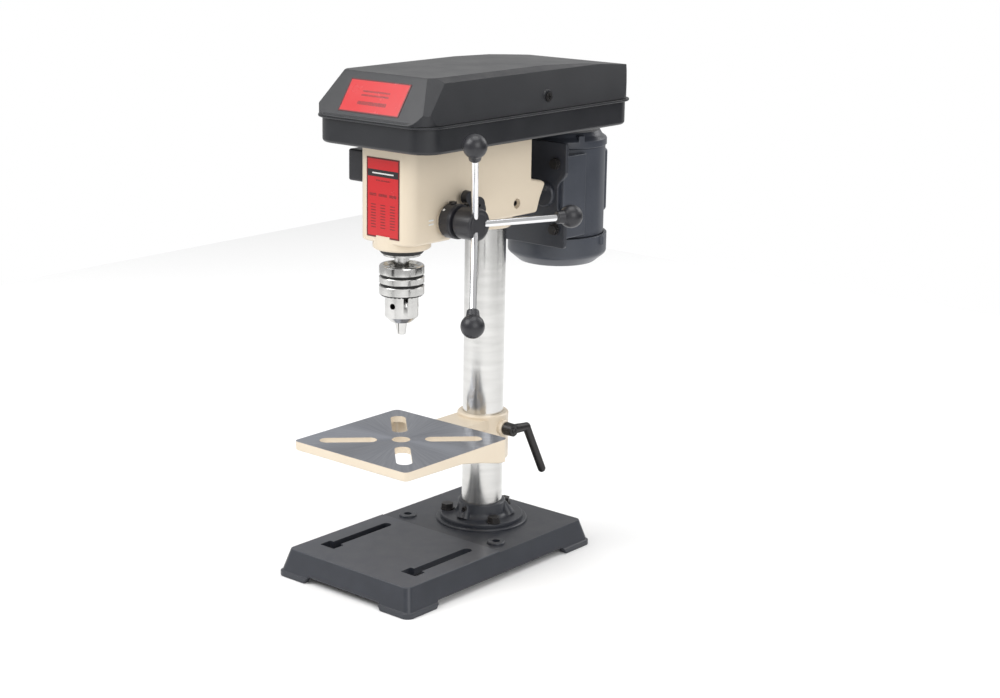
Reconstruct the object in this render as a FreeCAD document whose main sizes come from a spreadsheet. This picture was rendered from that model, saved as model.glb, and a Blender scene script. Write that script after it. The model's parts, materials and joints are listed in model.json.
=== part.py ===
"""Bench drill press: base, round column, table, geared quill head, belt drive and motor.

Millimetres, +Z up. The origin is midway between the two bench bolt holes, on the bench top.
The operator stands at -Y and the feed handles are on the +X side.
"""
import FreeCAD, Part
import math
import os
import Sketcher

V = FreeCAD.Vector
doc = FreeCAD.newDocument("drill_press")
sheet = doc.addObject("Spreadsheet::Sheet", "Dims")

# alias, value in millimetres (or degrees or a count), what it is
DIMENSIONS = [
    ("run_fit", 0.04, "radial clearance of a running fit"),
    ("gap", 0.4, "clearance between neighbours that move past each other"),
    # base plate
    ("base_width", 194, "base footprint across, X"),
    ("base_depth", 312, "base footprint front to back, Y"),
    ("base_centre", -22, "centre of the base footprint, Y"),
    ("base_height", 29.5, "rear deck above the bench"),
    ("base_lip", 6, "upright rim at the foot of the sides"),
    ("base_draft", 9, "how far the sides lean in over their height"),
    ("base_wall", 7, "thickness of the cast walls and deck"),
    ("base_corner", 9, "plan radius of the footprint corners"),
    ("foot_width", 40, "length of a foot along the front edge"),
    ("foot_depth", 45, "length of a foot along the side edge"),
    ("arch_height", 7.5, "height of the arches between the feet"),
    ("pad_rise", 1.4, "machined front pad above the rear deck"),
    ("pad_rear", -20, "rear edge of the machined pad, Y"),
    ("slot_offset", 60, "work slots from the centre line"),
    ("slot_width", 11, "width of a work slot"),
    ("slot_rear", -37, "rear end of the work slots, Y"),
    ("entry_front", -138, "front end of the slot entries, Y"),
    ("entry_width", 21, "width of a slot entry"),
    ("entry_depth", 16, "length of a slot entry"),
    ("bench_hole", 4.5, "radius of the bench bolt holes"),
    ("bench_offset", 66, "bench bolt holes from the centre line"),
    ("bench_boss", 10, "radius of the raised bosses at the bench holes"),
    ("post_low", 8, "lower end of the posts under the deck"),
    # column and flange
    ("column_y", 53, "column axis, Y"),
    ("column_radius", 23, "column outside radius"),
    ("column_wall", 3, "column wall"),
    ("column_top", 466, "top of the column, inside the head"),
    ("seat_radius", 52, "raised round seat on the base"),
    ("seat_top", 32.5, "top of the round seat"),
    ("flange_radius", 47, "column flange disc radius"),
    ("flange_thick", 4.5, "column flange disc thickness"),
    ("hub_wall", 4, "column flange hub wall"),
    ("fillet_run", 6, "run of the fillet at the hub's foot"),
    ("fillet_high", 8, "height of the fillet at the hub's foot"),
    ("rib_foot", 9, "foot radius of a hub rib"),
    ("rib_head", 5, "top radius of a hub rib"),
    ("hub_top", 53, "top of the column flange hub"),
    ("bolt_circle", 40, "radius of the flange bolt circle"),
    ("bolt_radius", 4, "flange bolt shank radius"),
    ("bolt_head", 7, "flange bolt head, half across corners"),
    ("bolt_head_high", 5.5, "flange bolt head height"),
    ("washer_thick", 1.4, "flange bolt washer thickness"),
    ("grub_radius", 3, "set screw radius"),
    ("grub_drop", 6, "set screw below the hub's top"),
    # table
    ("table_size", 164, "table across and front to back"),
    ("table_front", -166, "front edge of the table, Y"),
    ("table_top", 154, "table surface above the bench"),
    ("table_deck", 7, "table deck thickness"),
    ("table_edge", 10, "depth of the table's front edge"),
    ("table_skirt", 27, "depth of the table's rear edge"),
    ("table_wall", 5, "table skirt wall"),
    ("table_corner", 6, "table corner radius"),
    ("collar_wall", 6, "table collar wall"),
    ("collar_rise", 4, "collar above the table surface"),
    ("collar_drop", 50, "collar below the table surface"),
    ("tongue_half", 23, "half width of the tongue from table to collar"),
    ("work_hole", 10, "radius of the hole under the spindle"),
    ("ray_width", 17, "width of the table's diagonal slots"),
    ("ray_inner", 26, "inner end of a diagonal slot from the spindle axis"),
    ("ray_outer", 88, "outer end of a diagonal slot from the spindle axis"),
    ("stud_radius", 4, "radius of the screws under the clamp lever and the tension knob"),
    ("stud_boss", 8.5, "radius of the boss round the clamp stud"),
    ("lever_hub", 7.5, "clamp lever hub radius"),
    ("lever_hub_long", 13, "clamp lever hub length"),
    ("lever_drop", 11, "clamp lever axis below the table surface"),
    ("lever_reach", 24, "clamp lever from its axis to the bend"),
    ("lever_fall", 58, "clamp lever from the bend to its end"),
    # spindle, quill and chuck
    ("spindle_y", -84, "spindle axis, Y"),
    ("quill_radius", 20, "quill outside radius"),
    ("quill_bottom", 358, "quill's lower face with the quill up"),
    ("quill_length", 98, "quill length"),
    ("quill_travel", 50, "quill stroke"),
    ("quill_boss", 31, "radius of the head's boss round the quill"),
    ("quill_boss_drop", 8, "quill boss below the head's underside"),
    ("quill_wall", 6, "quill wall between its bearings"),
    ("bearing_wall", 4, "quill wall at its bearings"),
    ("bearing_high", 10, "height of a quill bearing"),
    ("stop_radius", 26, "rubber stop ring radius"),
    ("stop_high", 5, "rubber stop ring height"),
    ("stop_taper", 4, "how much narrower the rubber stop ring is at its foot"),
    ("spindle_radius", 6, "spindle radius in its bearings"),
    ("nose_radius", 8, "spindle nose radius"),
    ("spindle_top", 531, "top of the spindle with the quill up"),
    ("chuck_top", 348, "top of the chuck sleeve"),
    ("sleeve_radius", 24.2, "chuck sleeve radius"),
    ("sleeve_height", 33, "chuck sleeve height"),
    ("chuck_radius", 18, "chuck body radius"),
    ("chuck_bottom", 286, "lower face of the chuck body"),
    ("groove_deep", 1.2, "depth of the sleeve's grooves"),
    ("key_hole", 3.2, "radius of the chuck's key holes"),
    ("key_drop", 10, "key holes below the sleeve"),
    ("jaw_radius", 4, "chuck jaw radius"),
    ("jaw_length", 30, "chuck jaw length along the spindle"),
    ("jaw_tip", 272, "tip of the closed chuck jaws"),
    ("jaw_slope", 13, "lean of a jaw from the spindle axis, degrees"),
    # head casting
    ("head_front", -113, "front face of the head, Y"),
    ("head_rear", 82, "rear face of the head, Y"),
    ("head_half", 37, "half width of the head at the front"),
    ("head_half_rear", 42, "half width of the head at the rear"),
    ("head_bottom", 374, "underside of the head at the quill"),
    ("head_top", 476, "top face of the head"),
    ("head_corner", 13, "radius of the head's front corners"),
    ("lug_rear", 106, "rear end of the slide bar lug, Y"),
    ("waist", 385, "underside of the head at the column"),
    ("register", 23, "radius of the spigot that centres the belt tray"),
    ("core_half", 22, "half width of the pocket cored out of the head"),
    ("column_boss", 2.5, "column boss beyond the flange hub's radius"),
    ("lock_back", 4, "head lock screw behind the column axis"),
    ("lock_drop", 9.5, "head lock screw below the slide bars"),
    ("lock_recess", 5.5, "radius of the head lock screw's recess"),
    ("label_half", 23, "half width of the front label"),
    ("label_high", 84, "height of the front label"),
    ("label_drop", 12, "front label below the head's top"),
    ("label_thick", 0.5, "thickness of both labels"),
    # feed
    ("feed_z", 397, "feed shaft axis, Z"),
    ("gear_module", 1.25, "module of the quill rack and pinion"),
    ("gear_teeth", 14, "pinion teeth"),
    ("pinion_half", 12, "half width of the pinion"),
    ("journal_radius", 10.2, "feed shaft journal radius"),
    ("shank_radius", 8, "feed shaft radius outside the head"),
    ("feed_boss", 15, "radius of the bosses round the feed shaft"),
    ("boss_proud", 4, "feed shaft bosses beyond the head's narrow sides"),
    ("ring_radius", 18.5, "depth ring radius"),
    ("ring_width", 16.5, "depth ring width"),
    ("hub_end", 84, "outer face of the handle hub, X"),
    ("handle_hub", 17, "handle hub radius"),
    ("rod_root", 77, "where the handle rods leave the feed axis, X"),
    ("rod_tip", 121, "handle ball centres, X"),
    ("rod_reach", 106, "handle ball centres from the feed axis"),
    ("rod_radius", 3.75, "handle rod radius"),
    ("ball_radius", 12.5, "handle ball radius"),
    ("spring_radius", 27, "return spring cup radius"),
    ("spring_depth", 18, "return spring cup depth"),
    ("thread_radius", 6, "radius of the feed shaft's threaded left end"),
    ("lock_nut", 10.4, "spring lock nuts, half across corners"),
    # belt housing
    ("tray_half", 80, "half width of the belt tray"),
    ("tray_front", -136, "front of the belt tray, Y"),
    ("tray_rear", 214, "rear of the belt tray, Y"),
    ("tray_height", 29, "belt tray height"),
    ("tray_corner", 25, "belt tray corner radius"),
    ("tray_wall", 3, "belt tray wall"),
    ("rim_proud", 4.5, "rim of tray and lid beyond the wall"),
    ("tray_screw_x", 28, "tray screws from the centre line"),
    ("tray_screw_front", 11, "front tray screws behind the head's front"),
    ("tray_screw_rear", 10, "rear tray screws ahead of the head's rear"),
    ("tray_screw", 2.5, "radius of the tray screws and the lid screw"),
    ("hinge_out", 4, "hinge axes beyond the rim"),
    ("hinge_inset", 60, "hinges from the tray's ends"),
    ("hinge_radius", 3.6, "hinge knuckle radius"),
    ("hinge_half", 20, "half length of a hinge"),
    ("leaf_long", 13, "length of one hinge knuckle"),
    ("pin_radius", 1.5, "hinge pin radius"),
    ("lid_top", 551, "top of the lid"),
    ("lid_rear_top", 542, "top of the lid at its rear edge"),
    ("lid_slope", 28, "run of the lid's front slope"),
    ("lid_lean", 10, "how far each lid side leans in"),
    ("lid_wall", 2.5, "lid wall"),
    ("lid_screw_back", 9, "lid screw behind the column axis"),
    ("lid_screw_rise", 14, "lid screw above the tray"),
    ("lid_label_half", 42, "half width of the lid's label"),
    ("lid_label_high", 38, "height of the lid's label up the slope"),
    ("lid_label_foot", 8, "lid label above the foot of the slope"),
    # drive
    ("motor_y", 182, "motor axis, Y"),
    ("motor_radius", 53, "motor frame radius"),
    ("motor_bottom", 313, "underside of the motor"),
    ("frame_bottom", 347, "lower end of the motor frame"),
    ("frame_top", 449, "upper end of the motor frame"),
    ("motor_top", 466, "top of the motor"),
    ("bell_radius", 57, "lower motor bell radius"),
    ("motor_shaft", 7, "motor shaft radius"),
    ("plate_front", 118, "front face of the motor plate, Y"),
    ("plate_thick", 5, "motor plate thickness"),
    ("plate_half", 60, "half width of the motor plate"),
    ("plate_bottom", 342, "lower edge of the motor plate"),
    ("plate_top", 461, "upper edge of the motor plate"),
    ("plate_boss", 14, "radius of the plate's slide bar bosses"),
    ("plate_boss_deep", 4, "depth of the plate's slide bar bosses"),
    ("plate_boss_drop", 8, "slide bar bosses below the slide bars"),
    ("motor_bolt", 3, "motor bolt radius"),
    ("motor_bolt_x", 46, "motor bolts from the centre line"),
    ("motor_bolt_low", 21, "lower motor bolts above the plate's lower edge"),
    ("motor_bolt_high", 24, "upper motor bolts below the plate's upper edge"),
    ("motor_foot", 38, "inner side of the motor feet from the centre line"),
    ("motor_foot_wide", 16, "width of a motor foot"),
    ("rotor_radius", 31.5, "rotor core radius"),
    ("stator_bore", 32, "bore of the stator"),
    ("core_inset", 16, "stator and rotor cores from the frame's ends"),
    ("winding_high", 12, "height of a winding beyond its core"),
    ("fan_radius", 44, "motor fan radius"),
    ("fan_blades", 8, "motor fan blades"),
    ("bar_gap", 8, "slide bar axes from the column's side"),
    ("bar_z", 409, "slide bar axes, Z"),
    ("bar_radius", 5, "slide bar radius"),
    ("bar_front", -33, "front end of the slide bars, Y"),
    ("knob_back", 8.4, "belt tension knob behind the slide bars' front ends"),
    ("knob_rise", 0.9, "belt tension knob above the slide bars"),
    ("belt_slack", 8, "how far the motor slides forward to free the belt"),
    ("step_height", 9, "height of one pulley step"),
    ("step_radius", 3, "change of radius from step to step"),
    ("pulley_bottom", 488, "underside of both pulleys' steps"),
    ("spindle_step", 34, "radius of the spindle pulley's largest step"),
    ("motor_step", 15, "radius of the motor pulley's smallest step"),
    ("pulley_steps", 5, "steps of each pulley"),
    ("sleeve_outer", 8.5, "splined sleeve radius"),
    ("sleeve_bearing", 17.5, "outside radius of the sleeve's bearings"),
    ("spindle_hub", 16, "radius of the spindle pulley's lower hub"),
    ("motor_hub", 13, "radius of the motor pulley's lower hub"),
    ("belt_width", 8, "belt height along the pulley axes"),
    ("belt_thick", 5, "belt thickness"),
    # switch
    ("switch_deep", 24, "switch box depth, X"),
    ("switch_long", 46, "switch box length, Y"),
    ("switch_high", 34, "switch box height"),
    ("switch_back", 14, "switch box behind the head's front"),
    ("switch_drop", 44, "foot of the switch box below the head's top"),
    ("switch_wall", 2, "switch box wall"),
    ("button_radius", 7, "push button radius"),
    ("button_first", 13, "start button behind the box's front"),
    ("button_second", 33, "stop button behind the box's front"),
]


class Size:
    """A length together with the sheet expression that gives it."""

    def __init__(self, text, value):
        self.text = text
        self.value = float(value)

    @staticmethod
    def of(other):
        if isinstance(other, Size):
            return other
        return Size(repr(float(other)), other)

    def __add__(self, other):
        other = Size.of(other)
        return Size(f"({self.text} + {other.text})", self.value + other.value)

    def __radd__(self, other):
        return Size.of(other) + self

    def __sub__(self, other):
        other = Size.of(other)
        return Size(f"({self.text} - {other.text})", self.value - other.value)

    def __rsub__(self, other):
        return Size.of(other) - self

    def __mul__(self, other):
        other = Size.of(other)
        return Size(f"({self.text} * {other.text})", self.value * other.value)

    def __rmul__(self, other):
        return Size.of(other) * self

    def __truediv__(self, other):
        other = Size.of(other)
        return Size(f"({self.text} / {other.text})", self.value / other.value)

    def __neg__(self):
        return Size(f"(0 - {self.text})", -self.value)


class Sheet:
    """Every driving dimension as an attribute."""


D = Sheet()
for row, (alias, value, note) in enumerate(DIMENSIONS, 1):
    sheet.set(f"A{row}", note)
    sheet.set(f"B{row}", str(value))
    sheet.setAlias(f"B{row}", alias)
doc.recompute()
for alias, value, note in DIMENSIONS:
    setattr(D, alias, Size(f"Dims.{alias}", getattr(sheet, alias)))

PITCH_RADIUS = D.gear_module * D.gear_teeth / 2
D.feed_y = D.spindle_y + D.quill_radius - D.gear_module + PITCH_RADIUS
D.hub_radius = D.column_radius + D.hub_wall
D.collar_radius = D.column_radius + D.collar_wall
D.bar_offset = D.column_radius + D.bar_gap
D.quill_top = D.quill_bottom + D.quill_length

NODES = {}
TURN = {
    "z": FreeCAD.Rotation(),
    "x": FreeCAD.Rotation(V(0, 1, 0), 90),
    "-x": FreeCAD.Rotation(V(0, 1, 0), -90),
    "y": FreeCAD.Rotation(V(1, 0, 0), -90),
    "-y": FreeCAD.Rotation(V(1, 0, 0), 90),
    "-z": FreeCAD.Rotation(V(1, 0, 0), 180),
}


def unit_name(stem):
    """The first free object name that starts with stem."""
    number = 1
    while doc.getObject(f"{stem}_{number}"):
        number += 1
    return f"{stem}_{number}"


def bind(target, **sizes):
    """Tie properties of target to sheet expressions."""
    for name, size in sizes.items():
        target.setExpression(name, Size.of(size).text)
    return target


def place(target, x, y, z, turn="z"):
    """Put target at a point whose coordinates follow the sheet."""
    target.Placement = FreeCAD.Placement(V(0, 0, 0), TURN[turn])
    for axis, size in zip("xyz", (x, y, z)):
        target.setExpression(f"Placement.Base.{axis}", Size.of(size).text)
    return target


def box(x0, x1, y0, y1, z0, z1):
    """A block between six planes."""
    block = doc.addObject("Part::Box", unit_name("block"))
    bind(block, Length=Size.of(x1) - x0, Width=Size.of(y1) - y0, Height=Size.of(z1) - z0)
    return place(block, x0, y0, z0)


def rod(radius, x, y, z, length, turn="z"):
    """A round bar from a point along one of the axes."""
    bar = doc.addObject("Part::Cylinder", unit_name("rod"))
    bind(bar, Radius=radius, Height=length)
    return place(bar, x, y, z, turn)


def cone(radius, far_radius, x, y, z, length, turn="z"):
    """A truncated cone from a point along one of the axes."""
    taper = doc.addObject("Part::Cone", unit_name("cone"))
    bind(taper, Radius1=radius, Radius2=far_radius, Height=length)
    return place(taper, x, y, z, turn)


def hexagon(half_corners, x, y, z, length, turn="z"):
    """A hexagon bar from a point along one of the axes."""
    bar = doc.addObject("Part::Prism", unit_name("hexagon"))
    bar.Polygon = 6
    bind(bar, Circumradius=half_corners, Height=length)
    return place(bar, x, y, z, turn)


def fuse(*pieces):
    """All pieces as one solid."""
    joined = doc.addObject("Part::MultiFuse", unit_name("fuse"))
    joined.Shapes = list(pieces)
    joined.Refine = True
    return joined


def cut(base, *tools):
    """Base with every tool taken away."""
    tool = tools[0] if len(tools) == 1 else fuse(*tools)
    rest = doc.addObject("Part::Cut", unit_name("cut"))
    rest.Base = base
    rest.Tool = tool
    return rest


def common(*pieces):
    """What all the pieces share."""
    shared = doc.addObject("Part::MultiCommon", unit_name("common"))
    shared.Shapes = list(pieces)
    return shared


def group(*pieces):
    """Separate solids kept side by side in one object."""
    together = doc.addObject("Part::Compound", unit_name("group"))
    together.Links = list(pieces)
    return together


def node(label, piece):
    """Name a finished sub-part."""
    piece.Label = label
    NODES[label] = piece
    return piece


def held(shape):
    """A directly built shape as an object."""
    feature = doc.addObject("Part::Feature", unit_name("shape"))
    feature.Shape = shape
    return feature


def shape_node(label, shape):
    """A finished sub-part whose shape is built directly."""
    return node(label, held(shape))


def spun(piece, degrees, y, z=0):
    """A piece made on the world's axis, turned about an upright axis at (0, y)."""
    holder = place(group(piece), 0, y, z)
    holder.Placement.Rotation = FreeCAD.Rotation(V(0, 0, 1), degrees)
    return holder


def origin_plane(body, role):
    """The origin plane of a body with the given role."""
    return next(plane for plane in body.Origin.OriginFeatures if plane.Role == role)


def pin_point(sketch, index, where, x, y):
    """Hold a sketch point at x, y from the sketch origin."""
    for kind, size in (("DistanceX", x), ("DistanceY", y)):
        size = Size.of(size)
        number = sketch.addConstraint(
            Sketcher.Constraint(kind, -1, 1, index, where, size.value))
        sketch.setExpression(f"Constraints[{number}]", size.text)


def corner_arc(before, corner, after, radius):
    """The arc that rounds a corner, with its two tangent points."""
    back = (before - corner).normalize()
    ahead = (after - corner).normalize()
    half = back.getAngle(ahead) / 2
    start = corner + back * (radius / math.tan(half))
    end = corner + ahead * (radius / math.tan(half))
    centre = corner + (back + ahead).normalize() * (radius / math.sin(half))
    middle = centre + (corner - centre).normalize() * radius
    return start, middle, end


def draw_outline(sketch, points):
    """A closed outline through points (x, y) or, with a rounded corner, (x, y, radius)."""
    spots = [V(Size.of(p[0]).value, Size.of(p[1]).value, 0) for p in points]
    count = len(points)
    starts = []
    ends = []
    arcs = {}
    for i, point in enumerate(points):
        start = end = spots[i]
        if len(point) == 3:
            radius = Size.of(point[2]).value
            start, middle, end = corner_arc(spots[i - 1], spots[i], spots[(i + 1) % count], radius)
            arcs[i] = sketch.addGeometry(Part.Arc(start, middle, end))
        starts.append(start)
        ends.append(end)
    lines = [sketch.addGeometry(Part.LineSegment(ends[i], starts[(i + 1) % count]))
             for i in range(count)]
    for i, point in enumerate(points):
        into = lines[i - 1]
        out = lines[i]
        if i not in arcs:
            sketch.addConstraint(Sketcher.Constraint("Coincident", into, 2, out, 1))
            pin_point(sketch, out, 1, point[0], point[1])
            continue
        arc = arcs[i]
        first = sketch.getPoint(arc, 1)
        near, far = (1, 2) if first.distanceToPoint(starts[i]) < 1e-6 else (2, 1)
        sketch.addConstraint(Sketcher.Constraint("Tangent", into, 2, arc, near))
        sketch.addConstraint(Sketcher.Constraint("Tangent", arc, far, out, 1))
        size = Size.of(point[2])
        number = sketch.addConstraint(Sketcher.Constraint("Radius", arc, size.value))
        sketch.setExpression(f"Constraints[{number}]", size.text)
        mark = sketch.addGeometry(Part.Point(spots[i]), True)
        sketch.addConstraint(Sketcher.Constraint("PointOnObject", mark, 1, into))
        sketch.addConstraint(Sketcher.Constraint("PointOnObject", mark, 1, out))
        pin_point(sketch, mark, 1, point[0], point[1])


def sketched(body, role, points):
    """A sketch on one of the body's origin planes."""
    sketch = body.newObject("Sketcher::SketchObject", unit_name("sketch"))
    sketch.AttachmentSupport = (origin_plane(body, role), [""])
    sketch.MapMode = "FlatFace"
    draw_outline(sketch, points)
    return sketch


def pad(role, points, start, length):
    """An outline padded along the normal of its plane, from start on."""
    body = doc.addObject("PartDesign::Body", unit_name("pad"))
    sketch = sketched(body, role, points)
    feature = body.newObject("PartDesign::Pad", unit_name("feature"))
    feature.Profile = (sketch, [""])
    bind(feature, Length=length)
    body.Tip = feature
    shift = {"XY_Plane": (0, 0, start), "XZ_Plane": (0, start, 0), "YZ_Plane": (start, 0, 0)}[role]
    feature.Reversed = role == "XZ_Plane"
    return place(body, *shift)


def turned(points, x=0, y=0, z=0, turn="z"):
    """A lathe-turned piece from its half outline (radius, height)."""
    body = doc.addObject("PartDesign::Body", unit_name("turned"))
    sketch = sketched(body, "XZ_Plane", points)
    feature = body.newObject("PartDesign::Revolution", unit_name("feature"))
    feature.Profile = (sketch, [""])
    feature.ReferenceAxis = (sketch, ["V_Axis"])
    feature.Angle = 360
    body.Tip = feature
    return place(body, x, y, z, turn)


def rounded(x0, x1, y0, y1, radius):
    """Corner points of a rectangle with rounded corners."""
    return [(x0, y0, radius), (x1, y0, radius), (x1, y1, radius), (x0, y1, radius)]


def around(centre_x, centre_y, radius, degrees):
    """A point on a circle, following its centre and radius."""
    angle = math.radians(degrees)
    return centre_x + radius * math.cos(angle), centre_y + radius * math.sin(angle)


# ---------------------------------------------------------------- base and column


def tapered_block(half_x, half_y, bottom, lip, top, lean, corner):
    """An upright rim with leaning sides above it, on the base's centre."""
    mid = D.base_centre
    footprint = rounded(-half_x, half_x, mid - half_y, mid + half_y, corner)
    rim = pad("XY_Plane", footprint, bottom, lip - bottom)
    lower = doc.addObject("PartDesign::Body", unit_name("leaning"))
    low = sketched(lower, "XY_Plane", footprint)
    bind(low, **{"AttachmentOffset.Base.z": lip})
    inner_x = half_x - lean
    inner_y = half_y - lean
    high = sketched(lower, "XY_Plane",
                    rounded(-inner_x, inner_x, mid - inner_y, mid + inner_y, corner))
    bind(high, **{"AttachmentOffset.Base.z": top})
    loft = lower.newObject("PartDesign::AdditiveLoft", unit_name("feature"))
    loft.Profile = (low, [""])
    loft.Sections = [(high, [""])]
    loft.Ruled = True
    lower.Tip = loft
    return fuse(rim, lower)


def build_base():
    """Cast base plate with feet, work slots, bench holes and the column seat."""
    half_x = D.base_width / 2
    half_y = D.base_depth / 2
    deck_top = D.base_height + D.pad_rise
    front = D.base_centre - half_y
    rear = D.base_centre + half_y
    block = tapered_block(half_x, half_y, 0, D.base_lip, deck_top, D.base_draft, D.base_corner)
    hollow = tapered_block(half_x - D.base_wall, half_y - D.base_wall, -D.base_lip, D.base_lip,
                           D.base_height - D.base_wall, D.base_draft, D.base_corner)
    rear_deck = box(-half_x, half_x, D.pad_rear, rear, D.base_height, deck_top + 1)
    seat_low = D.base_height - D.base_wall
    post_high = D.base_height - D.post_low
    bolt_spots = [around(0, D.column_y, D.bolt_circle, angle) for angle in (90, 210, 330)]
    additions = [cut(block, rear_deck, hollow),
                 rod(D.seat_radius, 0, D.column_y, seat_low, D.seat_top - seat_low),
                 rod(D.hub_radius, 0, D.column_y, D.post_low, post_high)]
    for x, y in bolt_spots:
        additions.append(rod(D.bolt_radius + 5, x, y, D.post_low, post_high))
    span_x = half_x - D.foot_width
    span_y = half_y - D.foot_depth
    arch_run = D.base_wall + 9
    cuts = [box(-span_x, span_x, front - 1, front + arch_run, -1, D.arch_height),
            box(-span_x, span_x, rear - arch_run, rear + 1, -1, D.arch_height)]
    for side in (-1, 1):
        additions.append(rod(D.bench_boss, side * D.bench_offset, 0, 0, deck_top + 1))
        wall = side * (half_x - D.base_wall / 2)
        cuts.append(box(wall - D.base_wall, wall + D.base_wall, D.base_centre - span_y,
                        D.base_centre + span_y, -1, D.arch_height))
        x = side * D.slot_offset
        half = D.slot_width / 2
        end = D.slot_rear - half
        cuts.append(box(x - half, x + half, D.entry_front + 1, end, -1, deck_top + 5))
        cuts.append(rod(half, x, end, -1, deck_top + 5))
        wide = D.entry_width / 2
        cuts.append(box(x - wide, x + wide, D.entry_front, D.entry_front + D.entry_depth,
                        -1, deck_top + 5))
        cuts.append(rod(D.bench_hole, side * D.bench_offset, 0, -1, deck_top + 8))
    for x, y in bolt_spots:
        cuts.append(rod(D.bolt_radius, x, y, -1, D.seat_top + 5))
    node("base", cut(fuse(*additions), *cuts))


def build_flange():
    """Bolted column flange with its hub, three ribs and a set screw."""
    disc_top = D.seat_top + D.flange_thick
    disc = rod(D.flange_radius, 0, D.column_y, D.seat_top, D.flange_thick)
    hub = rod(D.hub_radius, 0, D.column_y, D.seat_top, D.hub_top - D.seat_top)
    fillet = cone(D.hub_radius + D.fillet_run, D.hub_radius, 0, D.column_y, disc_top,
                  D.fillet_high)
    pieces = [disc, hub, fillet]
    for angle in (30, 150, 270):
        x, y = around(0, D.column_y, D.hub_radius + 3, angle)
        pieces.append(cone(D.rib_foot, D.rib_head, x, y, disc_top, D.hub_top - disc_top - 4))
    cuts = [rod(D.column_radius + D.run_fit, 0, D.column_y, D.seat_top - 1,
                D.hub_top - D.seat_top + 2)]
    bolts = []
    for angle in (90, 210, 330):
        x, y = around(0, D.column_y, D.bolt_circle, angle)
        cuts.append(rod(D.bolt_radius + 0.4, x, y, D.seat_top - 1, D.flange_thick + 3))
        cuts.append(rod(D.bolt_head + 1.5, x, y, disc_top, D.hub_top))
        shank = rod(D.bolt_radius, x, y, D.base_height - D.base_wall - 10,
                    disc_top - D.base_height + D.base_wall + 10)
        washer = rod(D.bolt_head + 0.8, x, y, disc_top, D.washer_thick)
        head = hexagon(D.bolt_head, x, y, disc_top + D.washer_thick, D.bolt_head_high)
        bolts.append(fuse(shank, washer, head))
    grub_z = D.hub_top - D.grub_drop
    front = D.column_y - D.hub_radius
    cuts.append(rod(D.grub_radius, 0, D.column_y - D.column_radius + 1, grub_z, D.hub_radius,
                    "-y"))
    node("column_flange", cut(fuse(*pieces), *cuts))
    node("flange_bolts", group(*bolts))
    screw = rod(D.grub_radius, 0, D.column_y - D.column_radius - 0.5, grub_z, D.hub_wall + 4,
                "-y")
    socket = hexagon(1.6, 0, front - 6, grub_z, 3.5, "y")
    node("flange_set_screw", cut(screw, socket))


def build_column():
    """Ground tube that carries the table and the head."""
    length = D.column_top - D.seat_top
    outer = rod(D.column_radius, 0, D.column_y, D.seat_top, length)
    inner = rod(D.column_radius - D.column_wall, 0, D.column_y, D.seat_top - 1, length + 2)
    node("column", cut(outer, inner))


# ---------------------------------------------------------------- table


def build_table():
    """Cast square table with four diagonal slots and a bored collar."""
    half = D.table_size / 2
    rear = D.table_front + D.table_size
    low = D.table_top - D.table_skirt
    outline = rounded(-half, half, D.table_front, rear, D.table_corner)
    block = pad("XY_Plane", outline, low, D.table_skirt)
    wall = D.table_wall
    inner = rounded(wall - half, half - wall, D.table_front + wall, rear - wall, 3)
    hollow = pad("XY_Plane", inner, low - 1, D.table_skirt - D.table_deck + 1)
    edge_z = D.table_top - D.table_edge
    bend = D.table_front + D.table_size * 0.55
    relief = pad("YZ_Plane", [
        (D.table_front - 5, low - 5), (rear + 5, low - 5), (rear + 5, low),
        (rear - 14, low + 1.5), (rear - 44, low + 9), (bend, edge_z - 2),
        (D.table_front - 5, edge_z)], -half - 5, D.table_size + 10)
    plate = cut(block, fuse(hollow, relief))
    boss = rod(D.work_hole + 6, 0, D.spindle_y, edge_z, D.table_edge)
    ribs = box(-half + wall / 2, half - wall / 2, D.spindle_y - 2, D.spindle_y + 2, edge_z,
               D.table_top - 1)
    tongue = box(-D.tongue_half, D.tongue_half, rear - wall, D.column_y, edge_z, D.table_top)
    web = pad("YZ_Plane", [
        (rear - 2, low), (D.column_y, D.table_top - D.collar_drop + 6), (D.column_y, edge_z + 1),
        (rear - 2, edge_z + 1)], -D.tongue_half + 4, D.tongue_half * 2 - 8)
    keel = pad("YZ_Plane", [
        (rear - 60, edge_z - 1), (rear - 2, low + 1), (rear - 2, D.table_top - 2),
        (rear - 60, D.table_top - 2)], -3, 6)
    collar_low = D.table_top - D.collar_drop
    collar = rod(D.collar_radius, 0, D.column_y, collar_low, D.collar_drop + D.collar_rise)
    lever_z = D.table_top - D.lever_drop
    stud_boss = rod(D.stud_boss, 0, D.column_y, lever_z, D.collar_radius + 4, "x")
    casting = fuse(plate, boss, ribs, tongue, web, keel, collar, stud_boss)
    cuts = [rod(D.column_radius + D.run_fit, 0, D.column_y, collar_low - 1,
                D.collar_drop + D.collar_rise + 2),
            rod(D.work_hole, 0, D.spindle_y, low, D.table_skirt + 5),
            rod(D.stud_radius + D.run_fit, 0, D.column_y, lever_z, D.collar_radius + 10, "x")]
    for angle in (45, 135, 225, 315):
        cuts.append(ray_slot(angle, low - 5))
    node("table", cut(casting, *cuts))
    build_clamp_lever(lever_z)


def ray_slot(angle, low):
    """Cutter for one slot that points from the spindle axis to a table corner."""
    half = D.ray_width / 2
    end = half * 0.98
    slot = pad("XY_Plane", rounded(D.ray_inner, D.ray_outer, -half, half, end), 0,
               D.table_top + 5 - low)
    return spun(slot, angle, D.spindle_y, low)


def strut(start, end, radius, far_radius):
    """A round arm between two points with ball ends."""
    along = end - start
    if abs(radius - far_radius) < 1e-6:
        bar = Part.makeCylinder(radius, along.Length, start, along)
    else:
        bar = Part.makeCone(radius, far_radius, along.Length, start, along)
    balls = [Part.makeSphere(radius, start), Part.makeSphere(far_radius, end)]
    return bar.multiFuse(balls)


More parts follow.
